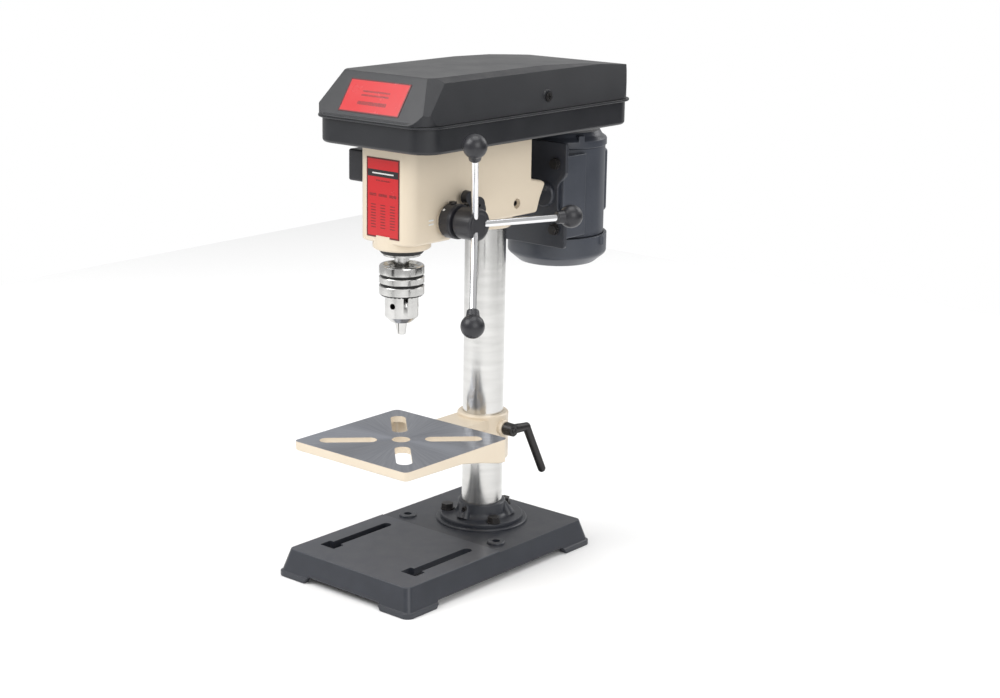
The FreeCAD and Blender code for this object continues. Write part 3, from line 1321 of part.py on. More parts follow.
def build_motor_plate():
    """Plate, slide bars and nuts that carry the motor behind the head."""
    y = D.plate_front
    low = D.plate_bottom
    high = D.plate_top
    half = D.plate_half
    notch = D.bar_z + 4
    outline = [(-half, low, 4), (half, low, 4), (half, D.bar_z - 32, 3), (half - 11, D.bar_z - 24, 3),
               (half - 11, notch, 3), (half, notch + 12, 3), (half, high, 4), (-half, high, 4),
               (-half, notch + 12, 3), (11 - half, notch, 3), (11 - half, D.bar_z - 24, 3),
               (-half, D.bar_z - 32, 3)]
    plate = pad("XZ_Plane", outline, y, D.plate_thick)
    bosses = []
    cuts = []
    bars = []
    nuts = []
    for side in (-1, 1):
        x = side * D.bar_offset
        bosses.append(rod(D.plate_boss, x, y - D.plate_boss_deep, D.bar_z - D.plate_boss_drop,
                          D.plate_boss_deep + 1, "y"))
        cuts.append(rod(D.bar_radius, x, y - 12, D.bar_z, 30, "y"))
        bar = rod(D.bar_radius, x, D.bar_front, D.bar_z, y + D.plate_thick - D.bar_front, "y")
        end = rod(3.5, x, y + D.plate_thick, D.bar_z, 6, "y")
        bars.append(fuse(bar, end))
        nut = hexagon(6.8, x, y + D.plate_thick, D.bar_z, 4.5, "y")
        nuts.append(cut(nut, rod(3.5, x, y + D.plate_thick - 1, D.bar_z, 10, "y")))
    bolts = []
    for x, z in motor_bolt_spots():
        cuts.append(rod(D.motor_bolt + 0.2, x, y - 1, z, D.plate_thick + 2, "y"))
        shank = rod(D.motor_bolt, x, y - 2, z, D.plate_thick + 12, "y")
        head = hexagon(6, x, y - 5.5, z, 4, "y")
        washer = rod(6.6, x, y - 1.5, z, 1.5, "y")
        bolts.append(fuse(shank, head, washer))
    node("motor_plate", cut(fuse(plate, *bosses), *cuts))
    node("slide_bars", group(*bars))
    node("slide_bar_nuts", group(*nuts))
    node("motor_bolts", group(*bolts))


def motor_bolt_spots():
    """The four bolts between plate and motor feet, as (x, z)."""
    rows = (D.plate_bottom + D.motor_bolt_low, D.plate_top - D.motor_bolt_high)
    return [(side * D.motor_bolt_x, z) for side in (-1, 1) for z in rows]


def build_motor():
    """Motor frame with feet, bells, stator, rotor, bearings and capacitor box."""
    y = D.motor_y
    r = D.motor_radius
    low = D.frame_bottom
    high = D.frame_top
    foot_front = D.plate_front + D.plate_thick
    tube = rod(r, 0, y, low, high - low)
    feet = []
    for inner in (D.motor_foot, -D.motor_foot - D.motor_foot_wide):
        feet.append(box(inner, inner + D.motor_foot_wide, foot_front, y - 18, low + 4, high - 4))
    cuts = [rod(r - 3, 0, y, low - 1, high - low + 2)]
    for x, z in motor_bolt_spots():
        cuts.append(rod(D.motor_bolt, x, foot_front - 1, z, 11, "y"))
    node("motor_frame", cut(fuse(tube, *feet), *cuts))
    node("motor_lower_bell", turned([
        (9, D.motor_bottom), (45, D.motor_bottom), (D.bell_radius, D.motor_bottom + 9),
        (D.bell_radius, low), (D.bell_radius - 3.5, low), (D.bell_radius - 3.5, D.motor_bottom + 11),
        (43, D.motor_bottom + 4), (18, D.motor_bottom + 4), (18, D.motor_bottom + 15), (13, D.motor_bottom + 15),
        (13, D.motor_bottom + 4), (9, D.motor_bottom + 4)], 0, y, 0))
    bell = turned([
        (17, high + 2), (r - 5, high + 2), (r - 5, high), (r + 1.5, high), (r + 1.5, high + 8),
        (r - 4, high + 12), (r - 6, D.motor_top), (9, D.motor_top), (9, D.motor_top - 3),
        (17, D.motor_top - 3)], 0, y, 0)
    lug = spun(box(r - 16, r + 1, -4, 4, high + 3, high + 15), -24, y)
    hollow = rod(r - 7, 0, y, high - 1, 10)
    node("motor_upper_bell", cut(fuse(bell, lug), cut(hollow, rod(17, 0, y, high - 2, 14))))
    core_low = low + D.core_inset
    core_high = high - D.core_inset
    stator = cut(rod(r - 3, 0, y, core_low, core_high - core_low),
                 rod(D.stator_bore, 0, y, core_low - 1, core_high - core_low + 2))
    node("stator", stator)
    windings = []
    for z0 in (core_low - D.winding_high, core_high):
        windings.append(cut(rod(r - 8, 0, y, z0, D.winding_high),
                            rod(D.stator_bore + 2, 0, y, z0 - 1, D.winding_high + 2)))
    node("stator_windings", group(*windings))
    shaft_low = D.motor_bottom + 6
    shaft = rod(D.motor_shaft, 0, y, shaft_low,
                D.pulley_bottom + D.step_height * D.pulley_steps - shaft_low)
    core = cut(rod(D.rotor_radius, 0, y, core_low, core_high - core_low),
               rod(D.motor_shaft, 0, y, core_low - 1, core_high - core_low + 2))
    node("rotor_shaft", shaft)
    node("rotor_core", core)
    fan_hub = cut(rod(14, 0, y, low - 15, 10), rod(D.motor_shaft, 0, y, low - 20, 20))
    fan_disc = cut(rod(D.fan_radius, 0, y, low - 6, 2), rod(13, 0, y, low - 8, 6))
    count = int(D.fan_blades.value)
    blades = [spun(box(13, D.fan_radius - 1, -0.8, 0.8, 0, 9), 360 / count * number, y, low - 15)
              for number in range(count)]
    node("motor_fan", fuse(fan_hub, fan_disc, *blades))
    node("motor_bearings", group(
        bearing(D.motor_shaft, 13, y, shaft_low, 9),
        bearing(D.motor_shaft, 17, y, D.motor_top - 12, 9)))
    box_back = y + r + 13
    case = pad("XZ_Plane", rounded(-22, 22, low + 17, high - 10, 5), y + r - 8, box_back - y - r + 8)
    node("capacitor_box", cut(case, rod(r, 0, y, low, high - low)))


# ---------------------------------------------------------------- switch


def build_switch(head_block):
    """Switch box on the head's left side with start and stop buttons and a cable gland."""
    wall = -(D.head_half + 3)
    y0 = D.head_front + D.switch_back
    y1 = y0 + D.switch_long
    z0 = D.head_top - D.switch_drop
    z1 = z0 + D.switch_high
    middle = z0 + D.switch_high / 2
    thick = D.switch_wall
    outer = wall - D.switch_deep
    gland_x = wall - D.switch_deep / 2
    gland_z = z0 + 12
    case = box(outer, wall, y0, y1, z0, z1)
    foot = box(wall - 1, 6 - D.head_half, y0 + 4, y1 - 4, z0 + 4, z1 - 4)
    cuts = [box(outer + thick, wall - thick, y0 + thick, y1 - thick, z0 + thick, z1 - thick),
            rod(4.5, gland_x, y1 - 5, gland_z, 10, "y"), head_block]
    for label, y in (("start_button", y0 + D.button_first), ("stop_button", y0 + D.button_second)):
        cuts.append(rod(D.button_radius + D.gap, outer - 6, y, middle, 12, "x"))
        cap = rod(D.button_radius, outer - 3, y, middle, 9, "x")
        skirt = rod(D.button_radius + 1.2, outer + 3 + D.gap, y, middle, 2, "x")
        node(label, fuse(cap, skirt))
    node("switch_box", cut(fuse(case, foot), *cuts))
    nose = fuse(rod(4.5, gland_x, y1 - 2.5, gland_z, 4, "y"),
                hexagon(7.5, gland_x, y1, gland_z, 4, "y"),
                cone(6.5, 5, gland_x, y1 + 4, gland_z, 8, "y"))
    node("cable_gland", cut(nose, rod(3.2, gland_x, y1 - 5, gland_z, 30, "y")))


build_base()
build_flange()
build_column()
build_table()
head_block = head_casting_block()
build_head(head_block)
build_tension_knob()
build_quill()
build_spindle()
build_chuck()
build_feed_shaft()
build_handles()
build_spring()
build_tray()
build_pulleys()
build_motor_plate()
build_motor()
build_switch(head_block)
doc.recompute()

problems = [f"{item.Name} ({item.Label})" for item in doc.Objects
            if "Invalid" in item.State or "Error" in item.State]
for label, piece in NODES.items():
    if piece.Shape.isNull() or not piece.Shape.isValid() or not piece.Shape.Solids:
        problems.append(f"{label}: bad shape")
if problems:
    raise SystemExit("failed: " + ", ".join(problems))
os.makedirs("parts", exist_ok=True)
for label, piece in NODES.items():
    piece.Shape.exportStep(f"parts/{label}.step")
    print(f"{label:22s} solids {len(piece.Shape.Solids)}  volume {piece.Shape.Volume / 1000:9.2f} cm3")
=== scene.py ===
"""Bench drill press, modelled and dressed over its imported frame.

Lengths in the classes are millimetres in the frame's own axes: +Z is up, the operator stands
at -Y and the feed handles are on the +X side. Finished meshes are in metres.
"""

import json
import logging
import math
from collections.abc import Callable, Iterator, Sequence
from contextlib import contextmanager
from dataclasses import dataclass, field
from enum import Enum

import bmesh
import bpy
from mathutils import Matrix, Vector

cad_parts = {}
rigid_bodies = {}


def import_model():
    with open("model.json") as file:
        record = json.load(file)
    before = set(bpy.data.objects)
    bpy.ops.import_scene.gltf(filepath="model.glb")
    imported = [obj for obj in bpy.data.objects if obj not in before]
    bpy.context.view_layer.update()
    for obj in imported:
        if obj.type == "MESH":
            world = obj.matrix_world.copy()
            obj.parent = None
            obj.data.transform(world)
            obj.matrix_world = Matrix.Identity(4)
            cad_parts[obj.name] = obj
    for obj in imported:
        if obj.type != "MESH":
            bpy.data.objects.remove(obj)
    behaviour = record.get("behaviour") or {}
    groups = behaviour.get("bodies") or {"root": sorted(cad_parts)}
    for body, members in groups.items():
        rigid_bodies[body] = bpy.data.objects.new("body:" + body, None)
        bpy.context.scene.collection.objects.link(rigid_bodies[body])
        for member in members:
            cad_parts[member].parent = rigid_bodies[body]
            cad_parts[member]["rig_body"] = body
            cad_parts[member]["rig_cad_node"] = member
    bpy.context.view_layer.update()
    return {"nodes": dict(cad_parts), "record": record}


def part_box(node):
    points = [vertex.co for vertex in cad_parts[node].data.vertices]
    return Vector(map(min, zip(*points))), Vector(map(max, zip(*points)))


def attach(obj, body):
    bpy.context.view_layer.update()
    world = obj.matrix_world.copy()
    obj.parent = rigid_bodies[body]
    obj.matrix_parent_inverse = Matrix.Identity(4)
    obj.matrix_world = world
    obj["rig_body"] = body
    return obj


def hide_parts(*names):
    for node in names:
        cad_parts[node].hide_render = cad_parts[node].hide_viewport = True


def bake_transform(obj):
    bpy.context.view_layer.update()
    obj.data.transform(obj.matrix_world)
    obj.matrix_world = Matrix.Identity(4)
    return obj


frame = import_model()

LOG = logging.getLogger("drill_press")
MM = 0.001
Colour = tuple[float, float, float]
Point = Sequence[float]
Test = Callable[[Vector, Vector], bool]


class Axis(Enum):
    """The direction that an outline is pulled along."""

    X = 0
    Y = 1
    Z = 2

    def place(self, u: float, v: float, w: float) -> Vector:
        """The point at (u, v) in the outline's plane and w along the axis."""
        return {Axis.X: Vector((w, u, v)), Axis.Y: Vector((u, w, v)), Axis.Z: Vector((u, v, w))}[self]


class Part(Enum):
    """What a hand tool picks on a mesh."""

    FACE = "FACE"
    EDGE = "EDGE"
    VERT = "VERT"


class Body(Enum):
    """The moving bodies that new pieces ride on."""

    STAND = "stand"
    COLUMN = "column"
    TABLE = "table"
    TABLE_CLAMP = "table_clamp"
    FEED = "feed"
    DEPTH_STOP = "depth_stop"
    SPINDLE = "spindle"
    CHUCK_SLEEVE = "chuck_sleeve"
    LID = "lid"
    MOTOR = "motor_carriage"
    TENSION = "tension_knob"
    START = "start_button"
    STOP = "stop_button"


def extent(node: str) -> tuple[Vector, Vector]:
    """Lowest and highest corner of a frame node, in millimetres."""
    low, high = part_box(node)
    return low / MM, high / MM


def middle(node: str) -> Vector:
    """Centre of a frame node's box, in millimetres."""
    low, high = extent(node)
    return (low + high) / 2


def around(centre: tuple[float, float], radius: float, degrees: float) -> tuple[float, float]:
    """A point on a circle in a plane."""
    turn = math.radians(degrees)
    return centre[0] + radius * math.cos(turn), centre[1] + radius * math.sin(turn)


def rectangle(low: tuple[float, float], high: tuple[float, float]) -> list[tuple[float, float]]:
    """The four corners of a rectangle, anticlockwise."""
    return [(low[0], low[1]), (high[0], low[1]), (high[0], high[1]), (low[0], high[1])]


def arc(centre: tuple[float, float], radius: float, start: float, end: float,
        steps: int) -> list[tuple[float, float]]:
    """Points of a circular arc, for a turned profile.

    Args:
        centre: Centre of the arc as (radius, height).
        radius: Radius of the arc.
        start: First angle in degrees.
        end: Last angle in degrees.
        steps: Number of straight runs.

    Returns:
        The arc's points in order.
    """
    return [around(centre, radius, start + (end - start) * i / steps) for i in range(steps + 1)]


class Shape:
    """A mesh on the bench, worked with hand tools and sized in millimetres."""

    def __init__(self, obj: bpy.types.Object) -> None:
        self.obj = obj

    # ------------------------------------------------------------ starting stock

    @staticmethod
    def clear() -> None:
        """Puts down whatever was held."""
        bpy.ops.object.select_all(action="DESELECT")

    @classmethod
    def _taken(cls, name: str) -> "Shape":
        """The primitive just added, with its place put into its mesh."""
        obj = bpy.context.object
        obj.name = obj.data.name = name
        bpy.ops.object.transform_apply(location=True, rotation=True, scale=True)
        return cls(obj)

    @classmethod
    def block(cls, name: str, low: Point, high: Point) -> "Shape":
        """A block between two corners."""
        cls.clear()
        a, b = Vector(low) * MM, Vector(high) * MM
        bpy.ops.mesh.primitive_cube_add(size=1.0, location=(a + b) / 2)
        bpy.context.object.scale = b - a
        return cls._taken(name)

    @classmethod
    def bar(cls, name: str, radius: float, start: Point, end: Point, far: float | None = None,
            sides: int = 48) -> "Shape":
        """A round or tapered bar between two points."""
        cls.clear()
        a, b = Vector(start) * MM, Vector(end) * MM
        bpy.ops.mesh.primitive_cone_add(
            vertices=sides, radius1=radius * MM, radius2=(radius if far is None else far) * MM,
            depth=(b - a).length, location=(a + b) / 2,
            rotation=(b - a).to_track_quat("Z", "Y").to_euler())
        return cls._taken(name)

    @classmethod
    def ball(cls, name: str, radius: float, centre: Point) -> "Shape":
        """A ball for blending two bars."""
        cls.clear()
        bpy.ops.mesh.primitive_uv_sphere_add(segments=24, ring_count=12, radius=radius * MM,
                                             location=Vector(centre) * MM)
        return cls._taken(name)

    @classmethod
    def _ring(cls, name: str, spots: Sequence[Vector], fill: str) -> "Shape":
        """A closed outline whose corners are moved one by one to their places."""
        cls.clear()
        bpy.ops.mesh.primitive_circle_add(vertices=len(spots), radius=1.0, fill_type=fill)
        piece = cls._taken(name)
        with piece.editing(Part.VERT):
            mesh = bmesh.from_edit_mesh(piece.obj.data)
            for number, spot in enumerate(spots):
                bpy.ops.mesh.select_all(action="DESELECT")
                mesh.verts.ensure_lookup_table()
                mesh.verts[number].select_set(True)
                bpy.ops.transform.translate(value=spot * MM - mesh.verts[number].co)
        return piece

    @classmethod
    def prism(cls, name: str, outline: Sequence[tuple[float, float]], axis: Axis, start: float,
              length: float, rounds: dict[int, float] | None = None) -> "Shape":
        """A block pulled from a flat outline.

        Args:
            name: Name of the piece.
            outline: Corners in the plane across the axis.
            axis: Direction of the pull.
            start: Where the outline lies along the axis.
            length: Length of the pull.
            rounds: Corner radius for some of the corners, by their number.

        Returns:
            The closed block.
        """
        piece = cls._ring(name, [axis.place(u, v, start) for u, v in outline], "NGON")
        with piece.editing(Part.VERT):
            for number, radius in (rounds or {}).items():
                spot = axis.place(*outline[number], start)
                bpy.ops.mesh.select_all(action="DESELECT")
                piece.pick(Part.VERT, lambda at, way: (at - spot).length < 0.01)
                bpy.ops.mesh.bevel(offset=radius * MM, segments=8, affect="VERTICES")
            bpy.ops.mesh.select_all(action="SELECT")
            bpy.ops.mesh.extrude_region_move(
                TRANSFORM_OT_translate={"value": axis.place(0, 0, length) * MM})
            bpy.ops.mesh.select_all(action="SELECT")
            bpy.ops.mesh.normals_make_consistent(inside=False)
        return piece

    @classmethod
    def lathe(cls, name: str, profile: Sequence[tuple[float, float]], centre: Point,
              along: Point = (0, 0, 1), sides: int = 72) -> "Shape":
        """A turned piece.

        Args:
            name: Name of the piece.
            profile: Closed half outline as (radius, height along the axis).
            centre: Where height 0 lies on the axis.
            along: Direction of the axis.
            sides: Number of steps round the axis.

        Returns:
            The closed turned piece.
        """
        axis = Vector(along).normalized()
        across = axis.orthogonal().normalized()
        foot = Vector(centre)
        piece = cls._ring(name, [foot + across * r + axis * h for r, h in profile], "NOTHING")
        with piece.editing(Part.VERT):
            bpy.ops.mesh.select_all(action="SELECT")
            bpy.ops.mesh.spin(steps=sides, angle=math.tau, center=foot * MM, axis=axis)
            bpy.ops.mesh.select_all(action="SELECT")
            bpy.ops.mesh.remove_doubles(threshold=0.00002)
            bpy.ops.mesh.delete_loose(use_verts=True, use_edges=True, use_faces=False)
            bpy.ops.mesh.select_all(action="SELECT")
            bpy.ops.mesh.normals_make_consistent(inside=False)
        return piece

    # ------------------------------------------------------------ hand tools

    def hold(self) -> None:
        """Makes this the only piece in hand."""
        self.clear()
        self.obj.select_set(True)
        bpy.context.view_layer.objects.active = self.obj

    @contextmanager
    def editing(self, part: Part) -> Iterator[None]:
        """Opens the mesh for editing with nothing picked."""
        self.hold()
        bpy.ops.object.mode_set(mode="EDIT")
        bpy.ops.mesh.select_mode(type=part.value)
        bpy.ops.mesh.select_all(action="DESELECT")
        try:
            yield
        finally:
            bpy.ops.object.mode_set(mode="OBJECT")

    def pick(self, part: Part, test: Test) -> None:
        """Picks what passes the test of its middle and its normal or direction, in edit mode."""
        mesh = bmesh.from_edit_mesh(self.obj.data)
        rows = {Part.FACE: mesh.faces, Part.EDGE: mesh.edges, Part.VERT: mesh.verts}[part]
        for row in rows:
            if part is Part.FACE:
                at, way = row.calc_center_median(), row.normal
            elif part is Part.EDGE:
                at = (row.verts[0].co + row.verts[1].co) / 2
                way = (row.verts[1].co - row.verts[0].co).normalized()
            else:
                at, way = row.co, row.normal
            if test(at / MM, way):
                row.select_set(True)
        bmesh.update_edit_mesh(self.obj.data)

    def raise_top(self, height: float, scale: tuple[float, float], ledge: float = 0.0) -> "Shape":
        """Draws the top face up, narrower at its new height, from behind an optional ledge."""
        with self.editing(Part.FACE):
            top = max(v.co.z for v in self.obj.data.vertices) / MM
            self.pick(Part.FACE, lambda at, way: at.z > top - 0.01 and way.z > 0.9)
            if ledge:
                bpy.ops.mesh.inset(thickness=ledge * MM, depth=0)
            bpy.ops.mesh.extrude_region_move(
                TRANSFORM_OT_translate={"value": (0, 0, height * MM)})
            middle_now = Vector((0, sum(self.spread(1)) / 2, 0))
            bpy.ops.transform.resize(value=(scale[0], scale[1], 1), center_override=middle_now)
        return self

    def spread(self, axis: int) -> tuple[float, float]:
        """Lowest and highest coordinate of the open mesh along an axis, in metres."""
        mesh = bmesh.from_edit_mesh(self.obj.data)
        values = [v.co[axis] for v in mesh.verts]
        return min(values), max(values)

    def bevel(self, part: Part, test: Test, width: float, segments: int = 3) -> "Shape":
        """Rounds the edges that pass the test."""
        with self.editing(part):
            self.pick(part, test)
            bpy.ops.mesh.bevel(offset=width * MM, segments=segments, affect="EDGES")
        return self

    def slice(self, spot: Point, normal: Point) -> "Shape":
        """Cuts off what lies beyond a plane and closes the cut."""
        with self.editing(Part.FACE):
            bpy.ops.mesh.select_all(action="SELECT")
            bpy.ops.mesh.bisect(plane_co=Vector(spot) * MM, plane_no=Vector(normal),
                                use_fill=True, clear_outer=True)
        return self

    def copied(self, name: str, turn: float = 0.0, centre: Point = (0, 0, 0),
               along: Point = (0, 0, 1)) -> "Shape":
        """A copy with its own mesh, turned about an axis."""
        self.hold()
        bpy.ops.object.duplicate(linked=False)
        twin = Shape(bpy.context.object)
        twin.obj.name = twin.obj.data.name = name
        spot = Matrix.Translation(Vector(centre) * MM)
        spin = Matrix.Rotation(math.radians(turn), 4, Vector(along))
        twin.obj.data.transform(spot @ spin @ spot.inverted())
        return twin

    def joined(self, *others: "Shape") -> "Shape":
        """Others taken into this piece, as separate shells."""
        self.hold()
        for other in others:
            other.obj.select_set(True)
        if others:
            bpy.ops.object.join()
        return self

    def modify(self, kind: str, **settings: object) -> "Shape":
        """Adds one modifier and applies it."""
        self.hold()
        bpy.ops.object.modifier_add(type=kind)
        modifier = self.obj.modifiers[-1]
        for name, value in settings.items():
            setattr(modifier, name, value)
        bpy.ops.object.modifier_apply(modifier=modifier.name)
        return self

    def _combined(self, operation: str, tools: Sequence["Shape"]) -> "Shape":
        """One boolean step with each tool in turn."""
        for tool in tools:
            self.modify("BOOLEAN", operation=operation, solver="EXACT", object=tool.obj)
            tool.hold()
            bpy.ops.object.delete()
        return self

    def less(self, *tools: "Shape") -> "Shape":
        """This piece with the tools cut away."""
        return self._combined("DIFFERENCE", tools)

    def plus(self, *tools: "Shape") -> "Shape":
        """This piece with the tools grown on."""
        return self._combined("UNION", tools)

    def within(self, *tools: "Shape") -> "Shape":
        """What this piece shares with the tools."""
        return self._combined("INTERSECT", tools)

    def rounded(self, width: float, segments: int = 3, angle: float = 32) -> "Shape":
        """Every edge sharper than the angle rounded."""
        return self.modify("BEVEL", width=width * MM, segments=segments, limit_method="ANGLE",
                           angle_limit=math.radians(angle), use_clamp_overlap=True)

    def melted(self, voxel: float, passes: int) -> "Shape":
        """Overlapping shells melted into one smooth cast form."""
        self.modify("REMESH", mode="VOXEL", voxel_size=voxel * MM)
        return self.modify("SMOOTH", factor=0.5, iterations=passes)

    def shade(self, angle: float = 38) -> "Shape":
        """Smooth shading that keeps the true corners."""
        self.hold()
        bpy.ops.object.shade_smooth_by_angle(angle=math.radians(angle))
        return self.modify("WEIGHTED_NORMAL", keep_sharp=True)

    # ------------------------------------------------------------ finishing

    def paint(self, material: bpy.types.Material, test: Test | None = None) -> "Shape":
        """Gives the whole piece, or the faces that pass the test, a material."""
        if test is None:
            self.obj.data.materials.clear()
            self.obj.data.materials.append(material)
            return self
        self.obj.data.materials.append(material)
        place = len(self.obj.data.materials) - 1
        for face in self.obj.data.polygons:
            if test(face.center / MM, face.normal):
                face.material_index = place
        return self

    def fit(self, body: Body, slot: str, *nodes: str) -> "Shape":
        """Seats the piece on its body, in place of frame nodes, and reports it."""
        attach(self.obj, body.value)
        if nodes:
            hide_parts(*nodes)
        LOG.info("%s rides %s, %d faces", self.obj.name, body.value, len(self.obj.data.polygons))
        return self


# ---------------------------------------------------------------- shader effects


class Nodes:
    """Shader nodes laid out in one tree."""

    def __init__(self, tree: bpy.types.NodeTree) -> None:
        self.tree = tree

    def add(self, kind: str, **settings: object) -> bpy.types.Node:
        """A new node with its settings."""
        node = self.tree.nodes.new(kind)
        for name, value in settings.items():
            setattr(node, name, value)
        return node

    def feed(self, target: bpy.types.NodeSocket, source: object) -> None:
        """Links a socket, or sets a plain value."""
        if isinstance(source, bpy.types.NodeSocket):
            self.tree.links.new(source, target)
        else:
            target.default_value = source

    def math(self, operation: str, *terms: object, clamp: bool = False) -> bpy.types.NodeSocket:
        """One math node."""
        node = self.add("ShaderNodeMath", operation=operation, use_clamp=clamp)
        for socket, term in zip(node.inputs, terms):
            self.feed(socket, term)
        return node.outputs[0]

    def vector(self, operation: str, *terms: object) -> bpy.types.Node:
        """One vector math node."""
        node = self.add("ShaderNodeVectorMath", operation=operation)
        for socket, term in zip(node.inputs, terms):
            self.feed(socket, term)
        return node

    def noise(self, at: bpy.types.NodeSocket, scale: object, detail: float = 3.0,
              roughness: float = 0.5) -> bpy.types.NodeSocket:
        """A noise value."""
        node = self.add("ShaderNodeTexNoise")
        node.inputs["Detail"].default_value = detail
        node.inputs["Roughness"].default_value = roughness
        self.feed(node.inputs["Vector"], at)
        self.feed(node.inputs["Scale"], scale)
        return node.outputs["Fac"]

    def spread(self, value: bpy.types.NodeSocket, low: object, high: object, to_low: object = 0.0,
               to_high: object = 1.0) -> bpy.types.NodeSocket:
        """A value moved from one range to another, held at its ends."""
        node = self.add("ShaderNodeMapRange")
        for socket, term in zip(node.inputs, (value, low, high, to_low, to_high)):
            self.feed(socket, term)
        return node.outputs[0]

    def mix(self, amount: object, first: object, second: object) -> bpy.types.NodeSocket:
        """Two colours mixed."""
        node = self.add("ShaderNodeMix", data_type="RGBA")
        for index, term in ((0, amount), (6, first), (7, second)):
            if isinstance(term, tuple) and len(term) == 3:
                term = (*term, 1.0)
            self.feed(node.inputs[index], term)
        return node.outputs[2]

    def inside(self, value: object, low: float, high: float) -> bpy.types.NodeSocket:
        """1 where a value lies between two others."""
        return self.math("MULTIPLY", self.math("GREATER_THAN", value, low),
                         self.math("LESS_THAN", value, high))

    def split(self, at: bpy.types.NodeSocket) -> bpy.types.NodeOutputs:
        """The three parts of a vector."""
        node = self.add("ShaderNodeSeparateXYZ")
        self.feed(node.inputs[0], at)
        return node.outputs


def new_group(name: str, inputs: dict[str, tuple[str, float]],
              outputs: dict[str, str]) -> tuple[Nodes, bpy.types.NodeOutputs, bpy.types.NodeInputs]:
    """An empty shader node group with named sockets.

    Args:
        name: Name of the group.
        inputs: Socket type and default value of each input.
        outputs: Socket type of each output.

    Returns:
        The group's node sheet, its inputs as sources and its outputs as targets.
    """
    tree = bpy.data.node_groups.new(name, "ShaderNodeTree")
    for label, (kind, value) in inputs.items():
        socket = tree.interface.new_socket(name=label, in_out="INPUT", socket_type=kind)
        if kind == "NodeSocketFloat":
            socket.default_value = value
    for label, kind in outputs.items():
        tree.interface.new_socket(name=label, in_out="OUTPUT", socket_type=kind)
    sheet = Nodes(tree)
    source = sheet.add("NodeGroupInput")
    target = sheet.add("NodeGroupOutput")
    return sheet, source.outputs, target.inputs


class Effects:
    """The surface effects that the finishes share."""

    def __init__(self) -> None:
        self.edge_wear = self._edge_wear()
        self.grain = self._grain()
        self.dust = self._dust()
        self.rings = self._rings()

    @staticmethod
    def _edge_wear() -> bpy.types.NodeTree:
        """Edges found by their roundness: a patchy wear mask and a softened normal."""
        sheet, given, out = new_group(
            "edge wear", {"Reach": ("NodeSocketFloat", 0.001), "Amount": ("NodeSocketFloat", 0.5),
                          "Patches": ("NodeSocketFloat", 120.0)},
            {"Mask": "NodeSocketFloat", "Soft Normal": "NodeSocketVector"})
        round_off = sheet.add("ShaderNodeBevel", samples=4)
        sheet.feed(round_off.inputs["Radius"], given["Reach"])
        flat = sheet.add("ShaderNodeNewGeometry").outputs["Normal"]
        facing = sheet.vector("DOT_PRODUCT", round_off.outputs[0], flat).outputs["Value"]
        edge = sheet.spread(facing, 0.995, 0.86)
        at = sheet.add("ShaderNodeTexCoord").outputs["Object"]
        patch = sheet.spread(sheet.noise(at, given["Patches"], 5.0, 0.65), 0.46, 0.66)
        worn = sheet.math("MULTIPLY", sheet.math("MULTIPLY", edge, patch), given["Amount"],
                          clamp=True)
        sheet.feed(out["Mask"], worn)
        sheet.feed(out["Soft Normal"], round_off.outputs[0])
        return sheet.tree

    @staticmethod
    def _grain() -> bpy.types.NodeTree:
        """Fine and broad unevenness of a sprayed, cast or moulded face."""
        sheet, given, out = new_group(
            "surface grain", {"Vector": ("NodeSocketVector", 0.0),
                              "Scale": ("NodeSocketFloat", 900.0),
                              "Broad": ("NodeSocketFloat", 45.0)},
            {"Height": "NodeSocketFloat", "Tone": "NodeSocketFloat"})
        fine = sheet.noise(given["Vector"], given["Scale"], 2.0)
        broad = sheet.noise(given["Vector"], given["Broad"], 4.0, 0.55)
        sheet.feed(out["Height"], sheet.math("ADD", sheet.math("MULTIPLY", fine, 0.6),
                                             sheet.math("MULTIPLY", broad, 0.9)))
        sheet.feed(out["Tone"], sheet.spread(broad, 0.3, 0.7))
        return sheet.tree

    @staticmethod
    def _dust() -> bpy.types.NodeTree:
        """A thin film on faces that look up."""
        sheet, given, out = new_group("dust film", {"Amount": ("NodeSocketFloat", 0.1)},
                                      {"Mask": "NodeSocketFloat"})
        up = sheet.split(sheet.add("ShaderNodeNewGeometry").outputs["Normal"])["Z"]
        at = sheet.add("ShaderNodeTexCoord").outputs["Object"]
        cloud = sheet.spread(sheet.noise(at, 60.0, 6.0, 0.7), 0.35, 0.75)
        film = sheet.math("MULTIPLY", sheet.math("MULTIPLY", sheet.spread(up, 0.4, 1.0), cloud),
                          given["Amount"], clamp=True)
        sheet.feed(out["Mask"], film)
        return sheet.tree

    @staticmethod
    def _rings() -> bpy.types.NodeTree:
        """Tool marks that run out from, or round, an upright axis; their tone is also painted sheen,
        light streaks fanning from the axis.
        """
        sheet, given, out = new_group(
            "tool marks", {"Vector": ("NodeSocketVector", 0.0), "Rays": ("NodeSocketFloat", 0.0),
                           "Rings": ("NodeSocketFloat", 1.0)},
            {"Height": "NodeSocketFloat", "Tone": "NodeSocketFloat"})
        part = sheet.split(given["Vector"])
        reach = sheet.vector("LENGTH", sheet.vector("MULTIPLY", given["Vector"],
                                                    (1.0, 1.0, 0.0)).outputs[0]).outputs["Value"]
        turn = sheet.math("ARCTAN2", part["Y"], part["X"])
        place = sheet.add("ShaderNodeCombineXYZ")
        sheet.feed(place.inputs["X"], sheet.math("MULTIPLY", turn, given["Rays"]))
        sheet.feed(place.inputs["Y"], sheet.math("MULTIPLY", reach, given["Rings"]))
        mark = sheet.noise(place.outputs[0], 1.0, 4.0, 0.6)
        sheet.feed(out["Height"], mark)
        sheet.feed(out["Tone"], sheet.spread(mark, 0.35, 0.65))
        return sheet.tree


